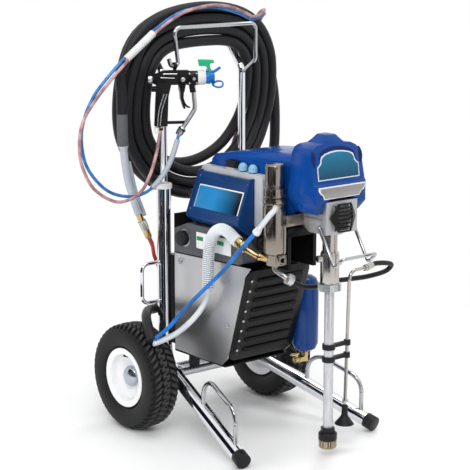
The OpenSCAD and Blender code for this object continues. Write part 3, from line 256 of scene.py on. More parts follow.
def grid_faces(n, m, wrap_u=False, wrap_v=True):
    """Quads over an n by m grid of points, wrapped round where asked, counted row by row."""
    i = np.arange(n if wrap_u else n - 1)[:, None]
    j = np.arange(m if wrap_v else m - 1)[None, :]
    a, b = i * m + j, i * m + (j + 1) % m
    c, d = ((i + 1) % n) * m + (j + 1) % m, ((i + 1) % n) * m + j
    return np.stack([a, b, c, d], -1).reshape(-1, 4)


def curve_through(points, n):
    """The smooth curve through points with n samples on each stretch: a cubic whose slope at each
    point is half the step between its neighbours."""
    p = np.asarray(points, float)
    q = np.vstack([p[:1], p, p[-1:]])
    t = (np.arange(n) / n)[None, :, None]
    a, b, c, d = (q[k:len(q) - 3 + k, None, :] for k in range(4))
    out = (2 * b + (c - a) * t + (2 * a - 5 * b + 4 * c - d) * t**2 + (3 * b - a - 3 * c + d) * t**3) / 2
    return np.vstack([out.reshape(-1, p.shape[1]), p[-1:]])


def distance_along(path):
    """How far along a polyline each of its points lies."""
    return np.concatenate([[0], np.cumsum(np.linalg.norm(np.diff(path, axis=0), axis=1))])


def evenly(path, step):
    """The same route with points at an even step along it."""
    s = distance_along(path)
    t = np.linspace(0, s[-1], max(2, int(round(s[-1] / step)) + 1))
    return np.stack([np.interp(t, s, path[:, k]) for k in range(3)], -1)


def route(points, samples, step):
    """A smooth route through points in metres, with a point every step millimetres."""
    return evenly(curve_through(points, samples), step * MM)


def swept_tube(path, radius, sides, lean):
    """Points, faces and uv of a round tube: centre + radius (cos v, sin v) across the path, where the first
    of the two directions across leans towards lean. u of the uv is the length along the path in metres,
    v runs once round. Flat fans close the ends."""
    n, m = len(path), sides + 1
    r = np.broadcast_to(np.asarray(radius, float), (n,))[:, None, None]
    along = unit(np.gradient(path, axis=0))
    lean = np.array(lean, float)
    u = unit(lean - (along * lean).sum(-1, keepdims=True) * along)
    w = np.cross(along, u)
    ang = np.linspace(0, 2 * math.pi, m)[None, :, None]
    ring = path[:, None, :] + r * (np.cos(ang) * u[:, None, :] + np.sin(ang) * w[:, None, :])
    uv = np.stack(np.broadcast_arrays(distance_along(path)[:, None], np.linspace(0, 1, m)[None, :]), -1)
    a, b = np.arange(1, sides - 1), np.arange(2, sides)
    first = np.stack([np.zeros_like(a), b, a], -1)
    last = np.stack([np.zeros_like(a), a, b], -1) + (n - 1) * m
    faces = list(grid_faces(n, m, wrap_v=False)) + list(first) + list(last)
    return ring.reshape(-1, 3), faces, uv.reshape(-1, 2)


def tube_piece(name, path, radius, wear, sides=16, stands_for=(), lean=(0.25, 0.9, 0.35), sharp=50):
    """A round tube along a path; its radius is in millimetres."""
    return add_piece(name, swept_tube(path, radius * MM, sides, lean), wear, sharp, stands_for=stands_for)


def revolved(origin, direction, profile, sides, ripple=None):
    """Points and faces of a closed turned form. The profile holds radius and distance pairs in metres;
    ripple(angle, distance) is added to the radius, as for a knurl or flutes."""
    d = unit(np.array(direction, float))
    u = unit(np.cross((0, 0, 1.0) if abs(d[2]) < 0.9 else (1.0, 0, 0), d))
    w = np.cross(d, u)
    ang = np.linspace(0, 2 * math.pi, sides, endpoint=False)[None, :]
    r = np.broadcast_to(profile[:, :1], (len(profile), sides)).copy()
    if ripple is not None:
        r = np.maximum(r + np.where(r > 1e-6, ripple(ang, profile[:, 1:2]), 0), 0)
    across = np.cos(ang)[..., None] * u + np.sin(ang)[..., None] * w
    ring = np.array(origin) + profile[:, 1][:, None, None] * d + r[..., None] * across
    return ring.reshape(-1, 3), grid_faces(len(profile), sides)


def turned_piece(name, origin, direction, profile, wear, sides=48, ripple=None, stands_for=()):
    """A turned form. Its profile is in millimetres; ends on the axis close by merging."""
    mesh = revolved(origin, direction, np.array(profile, float) * MM, sides, ripple)
    return add_piece(name, mesh, wear, 35, stands_for=stands_for)


def plate_rows(rows, origin, u, v):
    """Rows of points on outlines in millimetres along u and v, each at its own height along u x v."""
    u, v = unit(np.array(u, float)), unit(np.array(v, float))
    w = np.cross(u, v)
    flat = [(np.array(outline, float) * MM, height * MM) for outline, height in rows]
    return np.vstack([np.array(origin) + o[:, :1] * u + o[:, 1:2] * v + h * w for o, h in flat])


def slab_piece(name, outline, thick, origin, u, v, wear, bevel):
    """A plate: an outline along u and v, a thickness and a bevel, in millimetres."""
    n = len(outline)
    side = [(i, (i + 1) % n, n + (i + 1) % n, n + i) for i in range(n)]
    ends = [tuple(range(n - 1, -1, -1)), tuple(range(n, 2 * n))]
    points = plate_rows([(outline, 0), (outline, thick)], origin, u, v)
    return add_piece(name, (points, ends + side), wear, 40, bevel * MM)


def ring_plate(name, outer, inner, thick, origin, u, v, wear):
    """A plate with a hole: two outlines of the same count, carried through the thickness and closed on
    themselves, so the four rows of points are outer low, outer high, inner high and inner low."""
    rows = [(outer, 0), (outer, thick), (inner, thick), (inner, 0)]
    mesh = plate_rows(rows, origin, u, v), grid_faces(4, len(outer), wrap_u=True)
    return add_piece(name, mesh, wear, 40)


DOME_WALL = 0.15


def dome_set(name, places, direction, radius, height, wear, sides):
    """Equal round heads as one piece: radius cos t at a height that grows with sin t over a flat foot."""
    t = np.linspace(0, math.pi / 2, 6)
    rise = height * (DOME_WALL + (1 - DOME_WALL) * np.sin(t))
    profile = np.vstack([[0, 0], np.stack([radius * np.cos(t), rise], -1)]) * MM
    profile[1] = (radius * MM, 0)
    profile[-1, 0] = 0
    heads = [revolved(place, direction, profile, sides) for place in places]
    faces = [faces + k * len(points) for k, (points, faces) in enumerate(heads)]
    return add_piece(name, (np.vstack([points for points, _ in heads]), np.vstack(faces)), wear, 50)


def rounded_outline(w, h, r, steps):
    """A rectangle w by h about the origin with corners of radius r, as points on four arcs."""
    a = np.linspace(0, math.pi / 2, steps)
    x, y = w / 2 - r, h / 2 - r
    return np.vstack([
        np.stack([sx * x + r * np.cos(a + q * math.pi / 2), sy * y + r * np.sin(a + q * math.pi / 2)], -1)
        for q, (sx, sy) in enumerate(((1, 1), (-1, 1), (-1, -1), (1, -1)))
    ])


# ---- materials

PLAIN_SHINE = 0.16


class Finish:
    """A small builder for a procedural material round one shader."""

    def __init__(self, name, colour, rough, metal=0.0, **sockets):
        self.mat = bpy.data.materials.new(name)
        self.mat.use_nodes = True
        self.tree = self.mat.node_tree
        self.shader = self.tree.nodes["Principled BSDF"]
        shine = {} if metal else {"Specular_IOR_Level": PLAIN_SHINE}
        basic = {"Base_Color": (*colour, 1), "Roughness": rough, "Metallic": metal}
        for key, value in {**basic, **shine, **sockets}.items():
            self.shader.inputs[key.replace("_", " ")].default_value = value

    def node(self, kind, *sources, **values):
        return add_node(self.tree, kind, *sources, **values)

    def calc(self, operation, *sources):
        return self.node("Math", *sources, operation=operation).outputs[0]

    def place(self, use="Object"):
        """Object coordinates, or the piece's own uv."""
        return self.node("TexCoord").outputs[use]

    def axes(self, place):
        return self.node("SeparateXYZ", place).outputs

    def scaled(self, scale, use="Object"):
        return self.node("Mapping", self.place(use), Scale=scale).outputs["Vector"]

    def noise(self, scale, detail, stretch):
        return self.node("TexNoise", self.scaled(stretch), Scale=scale, Detail=detail).outputs["Fac"]

    def level(self, source, low, high):
        """Where the source lies between low and high, from 0 to 1."""
        return self.node("MapRange", source, From_Min=low, From_Max=high).outputs["Result"]

    def feed(self, socket, source):
        self.tree.links.new(source, self.shader.inputs[socket])
        return self

    def vary(self, socket, scale, low, high, detail=4.0, a=0.35, b=0.65, stretch=(1, 1, 1)):
        """Blends a shader input from low to high with a noise that runs between a and b."""
        return self.feed(socket, add_ramp(self.tree, self.noise(scale, detail, stretch), (a, low), (b, high)))

    def bump(self, source, strength, distance):
        made = self.node("Bump", Strength=strength, Distance=distance, Height=source)
        return self.feed("Normal", made.outputs["Normal"])

    def grain(self, scale, strength, detail=5.0, stretch=(1, 1, 1), distance=0.0005):
        return self.bump(self.noise(scale, detail, stretch), strength, distance)


def shaded(colour, share):
    """A colour at a share of its light."""
    return tuple(c * share for c in colour)


def chrome(name, colour, rough):
    """Bright plating with faint handling marks."""
    return Finish(name, colour, rough[0], 1.0).vary("Roughness", 38.0, *rough).mat


def brushed(name, colour, rough, stretch, scale):
    """Turned or drawn metal: fine lines across the stretch."""
    f = Finish(name, colour, rough[0], 1.0).vary("Roughness", scale, *rough, 6.0, stretch=stretch)
    return f.grain(scale * 4, 0.08, 4.0, stretch, 0.0002).mat


def gloss_plastic(name, colour, rough, coat, deep=0.85):
    """Smooth moulded plastic: a slight shade drift, a thin coat and a very fine ripple."""
    f = Finish(name, colour, rough, Coat_Weight=coat, Coat_Roughness=0.08)
    return f.vary("Base Color", 9.0, shaded(colour, deep), colour).grain(140.0, 0.02, 3.0).mat


def grained_plastic(name, colour, rough, size=900.0, depth=0.25):
    """Moulded plastic with a fine spark grain."""
    f = Finish(name, colour, rough).vary("Base Color", 16.0, shaded(colour, 0.82), colour)
    return f.grain(size, depth, 2.0, distance=0.0003).mat


def paint_coat(name, colour, rough, coat):
    """Sprayed enamel with orange peel."""
    f = Finish(name, colour, rough, Coat_Weight=coat, Coat_Roughness=0.06)
    return f.vary("Base Color", 6.0, shaded(colour, 0.9), colour).grain(260.0, 0.05, 2.0, distance=0.0004).mat


def dusty_rubber(name, colour, rough):
    """Rubber with a dusty bloom."""
    f = Finish(name, colour, rough).vary("Base Color", 14.0, colour, tuple(c + 0.0105 for c in colour), 6.0)
    return f.grain(420.0, 0.2, 4.0, distance=0.0003).mat


def woven_jacket(name, dark, pale, pitch, strands, rough):
    """A braided jacket: two crossing sets of strands in the tube's own uv, which shade and lift it."""
    f = Finish(name, dark, rough, Specular_IOR_Level=0.28)
    x, y, _ = f.axes(f.scaled((2 * math.pi / pitch, 2 * math.pi * strands, 1), "UV"))
    waves = [f.calc("SINE", f.calc(operation, x, y)) for operation in ("ADD", "SUBTRACT")]
    level = f.level(f.calc("MULTIPLY", *waves), -1, 1)
    return f.feed("Base Color", add_ramp(f.tree, level, (0.3, dark), (0.85, pale))).bump(level, 0.5, 0.0009).mat


def fading_plate(name, axis, span, low, high):
    """A printed plate whose colour fades from low to high over a span of one axis, under a clear coat."""
    f = Finish(name, high, 0.3, Coat_Weight=0.2, Coat_Roughness=0.1)
    level = f.level(f.axes(f.place())[axis], *span)
    return f.feed("Base Color", add_ramp(f.tree, level, (0.0, low), (1.0, high))).grain(320.0, 0.03, 2.0).mat


def air_line(name, colour, shade, streak=40.0):
    """Glossy thin hose with darker smudges along it."""
    f = Finish(name, colour, 0.28, Coat_Weight=0.3).vary("Base Color", streak, shade, colour, 3.0, 0.38, 0.6)
    return f.grain(500.0, 0.06).mat


def banded_hose(name, pitch):
    """A clear hose with painted shade that darkens the valleys between the ribs: a wave of the length along it."""
    f = Finish(name, (0.8, 0.84, 0.88), 0.3)
    wave = f.calc("SINE", f.axes(f.scaled((2 * math.pi / pitch, 1, 1), "UV"))[0])
    # painted shade: dark in the valleys between the ribs, the hose's own pale colour on the ribs
    rib_valley_shade = add_ramp(f.tree, f.level(wave, -1, 1), (0.15, (0.22, 0.25, 0.28)), (0.6, (0.80, 0.84, 0.87)))
    return f.feed("Base Color", rib_valley_shade).mat


def tyre_rubber(name):
    """Dull black rubber by the distance from the axle: painted shade, nearly black, in the tread's cuts and a painted
    highlight, paler, on its blocks.
    """
    f = Finish(name, (0.02, 0.02, 0.021), 0.5, Specular_IOR_Level=0.25)
    off_axle = f.node("VectorMath", f.place(), (0, 1, 1), (0, -AXLE_Y, -AXLE_Z), operation="MULTIPLY_ADD").outputs[0]
    level = f.level(f.node("VectorMath", off_axle, operation="LENGTH").outputs["Value"], 0.122, 0.133)
    # painted shade nearly black in the tread's cuts, a painted highlight on the tread blocks, plain black on the walls
    stops = (0.0, (0.009, 0.009, 0.0095)), (0.52, 0.002), (0.96, (0.05, 0.05, 0.052))
    return f.feed("Base Color", add_ramp(f.tree, level, *stops)).grain(900.0, 0.25, 3.0, distance=0.0004).mat


def satin_tube(name):
    """Polished aluminium that stays pale from every side: half metal, with faint lines along it."""
    f = Finish(name, (0.62, 0.62, 0.64), 0.3, 0.45).vary("Roughness", 30.0, 0.26, 0.4, stretch=(8, 8, 1))
    return f.vary("Base Color", 26.0, (0.50, 0.50, 0.53), (0.70, 0.70, 0.72), 3.0, stretch=(9, 9, 0.5)).mat


def cast_metal(name, colour, rough, depth):
    """Die cast aluminium or iron with a sandy skin."""
    return Finish(name, colour, rough[0], 0.85).vary("Roughness", 120.0, *rough).grain(520.0, depth).mat


def looks_of(maker, **rows):
    """A look for each name, from the values that its maker takes."""
    return {name: maker(name, *values) for name, values in rows.items()}


LOOKS = {
    "tyre": tyre_rubber("tyre"),
    "satin": satin_tube("satin"),
    "black_hose": dusty_rubber("black_hose", (0.010, 0.010, 0.011), 0.36),
    **looks_of(
        chrome,
        chrome=((0.80, 0.81, 0.83), (0.03, 0.09)),
        wire=((0.50, 0.51, 0.53), (0.10, 0.20)),
        warm_wire=((0.52, 0.50, 0.47), (0.16, 0.26)),
    ),
    **looks_of(
        brushed,
        sheet=((0.64, 0.64, 0.65), (0.30, 0.38), (1, 1, 30), 30.0),
        steel=((0.56, 0.57, 0.59), (0.24, 0.38), (1, 1, 12), 70.0),
        pale_steel=((0.66, 0.66, 0.65), (0.30, 0.42), (1, 1, 10), 60.0),
        dark_steel=((0.22, 0.22, 0.23), (0.3, 0.42), (12, 1, 1), 60.0),
        pump=((0.52, 0.49, 0.46), (0.16, 0.26), (1, 1, 30), 50.0),
        nickel=((0.31, 0.275, 0.24), (0.17, 0.22), (30, 30, 1), 40.0),
        brass=((0.62, 0.44, 0.20), (0.18, 0.3), (8, 8, 1), 60.0),
        zinc=((0.46, 0.50, 0.56), (0.12, 0.24), (12, 1, 1), 50.0),
        plate_silver=((0.40, 0.39, 0.38), (0.26, 0.38), (1, 40, 40), 30.0),
    ),
    **looks_of(
        cast_metal,
        cast=((0.22, 0.22, 0.235), (0.42, 0.6), 0.35),
        pale_cast=((0.52, 0.52, 0.53), (0.34, 0.5), 0.3),
    ),
    **looks_of(
        paint_coat,
        rim=((0.88, 0.88, 0.89), 0.26, 0.4),
        black_paint=((0.006, 0.006, 0.0065), 0.34, 0.1),
        tank=((0.004, 0.045, 0.22), 0.2, 0.3),
    ),
    **looks_of(
        grained_plastic,
        black_plastic=((0.018, 0.018, 0.020), 0.38),
        grey_plastic=((0.10, 0.105, 0.115), 0.44),
        pale_grey=((0.46, 0.47, 0.50), 0.42),
        white_plastic=((0.80, 0.80, 0.79), 0.4),
        navy=((0.006, 0.042, 0.155), 0.3, 600.0, 0.08),
        shade_blue=((0.006, 0.020, 0.10), 0.5, 500.0, 0.1),
        pale_cap=((0.24, 0.48, 0.66), 0.34),
        band=((0.11, 0.115, 0.12), 0.5),
        white_hose=((0.74, 0.78, 0.82), 0.36, 300.0, 0.08),
        tan=((0.42, 0.34, 0.24), 0.6, 700.0, 0.5),
        green_tag=((0.02, 0.28, 0.10), 0.4, 500.0, 0.1),
    ),
    **looks_of(
        gloss_plastic,
        blue=((0.003, 0.056, 0.28), 0.24, 0.1),
        plate_white=((0.80, 0.81, 0.82), 0.3, 0.2, 0.94),
        guard_blue=((0.005, 0.15, 0.52), 0.3, 0.3),
        tip_green=((0.02, 0.42, 0.20), 0.34, 0.2),
    ),
    **looks_of(
        fading_plate,
        teal=(2, (0.676, 0.728), (0.006, 0.07, 0.14), (0.010, 0.17, 0.30)),
        panel=(1, (-0.066, 0.020), (0.002, 0.006, 0.010), (0.010, 0.20, 0.46)),
    ),
    **looks_of(
        woven_jacket,
        jacket=((0.003, 0.003, 0.0035), (0.020, 0.020, 0.023), 0.0085, 14, 0.42),
        sleeve=((0.30, 0.33, 0.38), (0.62, 0.66, 0.72), 0.006, 10, 0.35),
        braid=((0.50, 0.52, 0.55), (0.86, 0.88, 0.90), 0.005, 9, 0.3),
    ),
    **looks_of(
        air_line,
        blue_hose=((0.010, 0.17, 0.56), (0.006, 0.11, 0.38), 22.0),
        blue_line=((0.05, 0.24, 0.58), (0.02, 0.12, 0.36)),
        pink_line=((0.55, 0.32, 0.32), (0.26, 0.14, 0.16)),
        red_tube=((0.50, 0.05, 0.05), (0.3, 0.03, 0.03)),
    ),
}

# the CAD nodes that stay, by their look
NODE_LOOKS = {
    "chrome": "left_frame_tube right_frame_tube hose_bracket handle_tube pump_rod",
    "wire": "guard_hoops hose_rack pail_hook",
    "warm_wire": "drain_tube",
    "satin": "suction_tube",
    "steel": "cross_tube axle gun_fan_knob pump_nut",
    "pump": "pump_cylinder",
    "sheet": "left_side_panel right_side_panel",
    "grey_plastic": "air_console",
    "pale_grey": "terminal_housing",
    "white_plastic": "post_collars",
    "tyre": "left_tyre right_tyre",
    "rim": "left_rim right_rim",
    "black_paint": "louvre_cover gun_body rod_guard chassis gun_trigger",
    "black_plastic": (
        "leg_caps regulator_knob drain_deflector tube_clip prime_knob pressure_knob power_switch strainer"
    ),
    "cast": "compressor",
    "pale_cast": "gear_housing",
    "tank": "air_tank",
    "brass": "tank_valve air_fittings hose_fittings",
    "blue": "motor_shroud front_shield",
    "navy": "control_box",
    "nickel": "filter_bowl filter_cap",
    "pale_cap": "front_breaker rear_breaker",
    "guard_blue": "gun_tip_guard",
    "tip_green": "gun_tip",
}
USUAL_EDGE = 0.6
EDGE_WIDTH = {
    "motor_shroud": 3.0, "front_shield": 2.2, "gear_housing": 1.6, "control_box": 1.5, "air_console": 2.0,
    "terminal_housing": 1.2, "regulator_knob": 1.0,
}


def dress_nodes():
    """Each CAD node takes its finish; its loose triangles are joined, rounded at the edges and split at creases."""
    for look, names in NODE_LOOKS.items():
        for name in names.split():
            node = NODES[name]
            node.data.materials.clear()
            node.data.materials.append(LOOKS[look])
            node.data.polygons.foreach_set("use_smooth", np.full(len(node.data.polygons), look != "sheet"))
            node.modifiers.new("weld", "WELD").merge_threshold = 2e-6
            soften(node, 34, EDGE_WIDTH.get(name, USUAL_EDGE) * MM, 32)


# ---- cords and hoses

HOSE_R, SLEEVE_HOSE_R = 0.0133, 0.0095
HOSE_SIDES, HOSE_STEP, TAIL_LEAD = 20, 0.0095, 0.022
COIL_X, COIL_Z, COIL_R, COIL_START = 0.006, 0.789, 0.2455, 150.0
TURN_BACK, REAR_TURNS, LOOP_POINTS = 4 - 1 / 3, 2 - 1 / 3, 72
TURN_STEP, END_STEP, LAYER_STEP = 0.02725, 0.0008, 0.0275
# turns before and after TURN_BACK over which the hose climbs to the rear layer and moves out again
CLIMB_FROM, CLIMB_TO, OUT_FROM, OUT_TO, REAR_INSET = -0.37, -0.02, -0.09, 0.35, 0.2
# where the hose crosses the two tubes, in degrees, how wide that is and how far it lifts the hose
TUBES_AT, TUBES_WIDTH, TUBES_LIFT, LIFT_A_TURN, LIFT_TURNS = (47, 138), 26, 0.025, 0.001, 3.3
# the height at which the coil starts to lean forward, over which height it does so, and how far
LEAN_Z, LEAN_SPAN, LEAN = 0.72, 0.18, 0.025
COIL_BACK = 0.034


def eased(s, start, end):
    """A smooth rise from 0 at start to 1 at end: t^2 (3 - 2 t)."""
    t = np.clip((s - start) / (end - start), 0, 1)
    return t * t * (3 - 2 * t)


def coil_points():
    """The coil: an angle that falls steadily, a radius that shrinks by one step a turn, a climb to the rear
    layer where the hose moves out again, and a rise where it crosses the two leaning tubes."""
    loops = TURN_BACK + REAR_TURNS
    s = np.arange(round(loops * LOOP_POINTS) + 1) / LOOP_POINTS
    a = COIL_START - 360 * s
    climb = eased(s, TURN_BACK + CLIMB_FROM, TURN_BACK + CLIMB_TO)
    outward = eased(s, TURN_BACK + OUT_FROM, TURN_BACK + OUT_TO)
    turns_in = s * (1 - outward) + (loops + REAR_INSET - s) * outward
    bells = sum(np.exp(-(((a % 360) - tube_at) / TUBES_WIDTH) ** 2) for tube_at in TUBES_AT)
    lift = bells * (TUBES_LIFT + LIFT_A_TURN * np.minimum(turns_in, LIFT_TURNS))
    sin, cos = np.sin(np.radians(a)), np.cos(np.radians(a))
    r = COIL_R - turns_in * (TURN_STEP + END_STEP * sin**2) + lift
    z = COIL_Z + r * sin
    back = COIL_BACK - LEAN * np.clip((z - LEAN_Z) / LEAN_SPAN, 0, 1) + LAYER_STEP * climb
    return np.stack([COIL_X + r * cos, AXLE_Y + back, z], -1)


# routes in millimetres from the middle of the axle line
LEFT_TAIL = [(-241, 10, 832), (-242, 8, 783), (-239, 9, 706), (-222, 14, 620), (-192, 16, 537)]
RIGHT_TAIL = [
    (266, 38, 800), (269, 36, 720), (266, 38, 640), (250, 44, 585), (215, 52, 556), (180, 64, 560), (166, 74, 590),
]
BLUE_LINE = [
    (164, 78, 604), (169, 84, 628), (192, 87, 680), (226, 86, 760), (240, 80, 850), (238, 72, 925), (230, 58, 964),
    (219, 36, 992), (205, 4, 1007), (178, -12, 1003), (147, -12, 996), (112, -12, 1010), (60, -12, 1025),
    (0, -12, 1032), (-80, -12, 1022), (-165, -12, 980), (-247, -16, 924), (-300, -22, 884), (-348, -30, 842),
    (-382, -36, 790), (-393, -40, 736), (-378, -42, 674), (-325, -42, 617), (-262, -44, 595), (-214, -50, 602),
    (-178, -58, 632), (-150, -64, 676), (-127, -66, 737),
]
PINK_LINE = [
    (158, 80, 600), (160, 92, 630), (183, 97, 684), (216, 97, 762), (230, 91, 850), (230, 84, 928), (225, 70, 970),
    (216, 42, 1004), (203, 4, 1018), (178, -19, 1012), (148, -20, 1003), (112, -20, 1017), (60, -20, 1033),
    (-2, -21, 1036), (-82, -21, 1020), (-169, -21, 974), (-250, -25, 914), (-304, -31, 872), (-354, -40, 830),
    (-392, -45, 784), (-405, -49, 730), (-398, -50, 680), (-366, -52, 624), (-302, -54, 588), (-243, -58, 602),
    (-214, -62, 642), (-189, -57, 694), (-167, -44, 746),
]
DRAIN_ROUTE = [
    (142, -460, 442), (160, -458, 443), (196, -455, 438), (222, -447, 428), (212, -436, 412), (160, -430, 406),
    (100, -428, 408), (55, -428, 410), (0, -428, 406), (-45, -430, 412), (-72, -432, 424), (-84, -430, 432),
]
BLUE_ROUTE = [
    (-152, -384, 548), (-158, -366, 528), (-164, -325, 485), (-165, -279, 440), (-175, -240, 402),
    (-180, -190, 358), (-182, -145, 318), (-200, -116, 277), (-226, -103, 254), (-236, -99, 250),
]
BRAIDED_ROUTE = [(-119, -411, 604), (-128, -422, 603), (-142, -420, 592), (-149, -404, 570), (-152, -384, 548)]
WHITE_ROUTE = [
    (-150, -205, 385), (-150, -203, 372), (-150, -188, 340), (-155, -156, 300), (-176, -122, 262),
    (-212, -104, 243), (-235, -98, 238),
]
RIBBED_ROUTE = [
    (-150, -316, 514), (-150, -306, 518), (-150, -280, 531), (-150, -254, 534), (-150, -228, 520),
    (-150, -212, 490), (-150, -206, 450), (-150, -205, 410), (-150, -205, 385),
]
SLEEVE_ROUTE = [
    (-238, -98, 244), (-233, -84, 255), (-222, -60, 272), (-205, -30, 283), (-180, 2, 285),
    (-155, 26, 284), (-130, 33, 283), (-112, 33, 286), (-104, 33, 292), (-102, 33, 304),
]
LINK_ROUTE = [
    (-148, 20, 453), (-143, 23, 441), (-132, 32, 418), (-116, 36, 388), (-106, 35, 356), (-102, 33, 326),
    (-102, 33, 304),
]
SLEEVE_TOP, BAND_TOP, RIGHT_SLEEVE_TOP = 0.706, 0.783, 0.625
LINE_R = 0.004
RIBS, RIB_OUT, RIB_IN, RIB_POINTS = 46, 14.2, 11.2, 8


def length_of(path):
    """Length of a polyline."""
    return float(distance_along(path)[-1])


def add_paint_hose():
    """The paint hose: up the left side, round the coil and down the right side. Its jacket is black,
    with a grey band and a pale sleeve near the left end and a sleeve near the right end."""
    coil = coil_points()
    head, tail = unit(coil[1] - coil[0]), unit(coil[-1] - coil[-2])
    start, end = coil[0] - head * 2 * HOSE_R, coil[-1] + tail * 2 * HOSE_R
    left = curve_through(np.vstack([start, start - head * TAIL_LEAD, at(LEFT_TAIL)]), 14)[::-1]
    right = curve_through(np.vstack([end, end + tail * TAIL_LEAD, at(RIGHT_TAIL)]), 14)
    path = evenly(np.vstack([left, coil, right]), HOSE_STEP)
    n = len(path)
    along, z = np.arange(n), path[:, 2]
    tail_end = n // 10
    on_left, on_right = along < tail_end, along > n - tail_end
    slim = (on_left & (z < SLEEVE_TOP)) | (on_right & (z < RIGHT_SLEEVE_TOP))
    band = on_left & (z >= SLEEVE_TOP) & (z < BAND_TOP)
    radius = np.where(slim, SLEEVE_HOSE_R, HOSE_R)
    obj = new_mesh("paint_hose", *swept_tube(path, radius, HOSE_SIDES, (0.02, 1, 0.04)))
    look_of = np.full(len(obj.data.polygons), 2, np.int32)
    look_of[:(n - 1) * HOSE_SIDES] = np.repeat(np.where(slim, 2, np.where(band, 1, 0))[:-1], HOSE_SIDES)
    obj.data.polygons.foreach_set("material_index", look_of)
    finish_piece(obj, "handle black_hose jacket band sleeve", 50, stands_for=("hose_coil", "hose_tails"))


def add_air_lines(swivel, grip_fitting):
    """The blue and the pink line from the paint hose's end up behind the coil and round to the gun, a pale
    spiral wrap that ties them together left of the coil, and a sleeve near the gun."""
    for name, points, look, stands, fitting in (
        ("blue_air_line", BLUE_LINE, "blue_line", ("whip_lines",), swivel),
        ("pink_air_line", PINK_LINE, "pink_line", (), grip_fitting),
    ):
        path = route(at(points), 16, 6)
        obj = tube_piece(name, path, LINE_R / MM, "handle air_line " + look, 14, stands, (0.3, 0.8, 0.5))
    path = evenly(at([(-165, -16, 977), (-247, -20, 920)]), 0.002)
    ripple = 9.1 + 0.6 * np.sin(2.1 * np.arange(len(path)))
    tube_piece("line_wrap", path, ripple, "handle white_hose white_plastic", 20)
    tube_piece("gun_line_sleeve", route(at(BLUE_LINE[-5:]), 16, 3)[22:-5], 6.6, "handle white_hose sleeve")


def add_machine_hoses():
    """The hoses that both ends of the machine hold: drain hose, blue, white and braided hoses and the sleeve,
    the link hose, and the ribbed hose, whose radius swells once a rib."""
    for name, points, radius, wear, stands, step in (
        ("drain_hose_skin", DRAIN_ROUTE, 6.0, "black_hose black_hose", ("drain_hose",), 4),
        ("blue_hose_skin", BLUE_ROUTE, 5.0, "air_line blue_hose", ("air_hoses",), 5),
        ("braided_hose_skin", BRAIDED_ROUTE, 6.4, "white_hose braid", (), 3),
        ("white_hose_skin", WHITE_ROUTE, 7.0, "white_hose white_hose", (), 5),
        ("hose_sleeve_skin", SLEEVE_ROUTE, 12.0, "black_hose jacket", ("hose_sleeve",), 5),
    ):
        tube_piece(name, route(at(points), 12, step), radius, "cart " + wear, 20, stands)
    path = route(at(LINK_ROUTE), 12, 4)
    link = tube_piece("link_hose_skin", path, 5.0, "cart black_hose red_tube", stands_for=("link_hose",))
    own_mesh(link)
    path = curve_through(at(RIBBED_ROUTE), 12)
    path = evenly(path, length_of(path) / (RIBS * RIB_POINTS))
    swell = np.clip(0.5 + 0.75 * np.sin(2 * math.pi * np.arange(len(path)) / RIB_POINTS), 0, 1)
    LOOKS["ribs"] = banded_hose("ribs", length_of(path) / RIBS)
    tube_piece("ribbed_hose_skin", path, RIB_IN + (RIB_OUT - RIB_IN) * swell, "cart white_hose ribs", 28,
               ("ribbed_hose",), (1, 0.05, 0.05), 70)


# ---- the plates of the front shield

SHIELD_Z = np.array([590, 612, 630, 640, 653, 658, 662, 726, 742, 752, 766, 768]) * MM
SHIELD_Y = np.array([-488, -500, -504, -506, -506, -502, -495, -486, -478, -474, -463, -456]) * MM
SHIELD_SIDE, SHIELD_ROUND, SHIELD_FRONT = 0.062, 0.023, -0.484
PLATE_FOOT = 0.0012


def shield_y(x, z):
    """The y of the shield's front at x and z: its side outline, or the round corner where that is further back."""
    bend = np.clip(np.abs(x) - SHIELD_SIDE, 0, SHIELD_ROUND)
    plan = SHIELD_FRONT - np.sqrt(SHIELD_ROUND**2 - bend**2)
    return AXLE_Y + np.maximum(np.interp(z, SHIELD_Z, SHIELD_Y), plan)


def shield_plate(name, xs, low, high, lift, look, rows=14):
    """A plate that lies on the shield: x runs along xs, z from low(x) to high(x), y follows the shield
    and stands out by lift, and a rim of the same outline goes back under the surface."""
    x = np.repeat(xs[:, None], rows, 1) * MM
    lo, hi = np.interp(xs, *low)[:, None] * MM, np.interp(xs, *high)[:, None] * MM
    z = lo + (hi - lo) * np.linspace(0, 1, rows)[None, :]
    y = shield_y(x, z)
    n, m = len(xs), rows
    faces = grid_faces(n, m, wrap_v=False)
    rim = np.concatenate([
        np.arange(m), np.arange(1, n) * m + m - 1, (n - 1) * m + np.arange(m - 2, -1, -1),
        np.arange(n - 2, 0, -1) * m,
    ])
    side = np.stack([rim, np.roll(rim, -1), np.roll(rim, -1) + n * m, rim + n * m], -1)
    pts = np.stack([[x, y - lift * MM, z], [x, y + PLATE_FOOT, z]]).transpose(0, 2, 3, 1).reshape(-1, 3)
    mesh = pts, np.vstack([faces, faces[:, ::-1] + n * m, side])
    add_piece(name, mesh, "cart blue_plastic " + look, 40, distance=2e-6)


def mirrored(*half):
    """An outline on both sides of x = 0 from the points of its right half: its x row and its z row."""
    right = np.array(half, float)
    return np.vstack([right[right[:, 0] > 0][::-1] * (-1, 1), right]).T


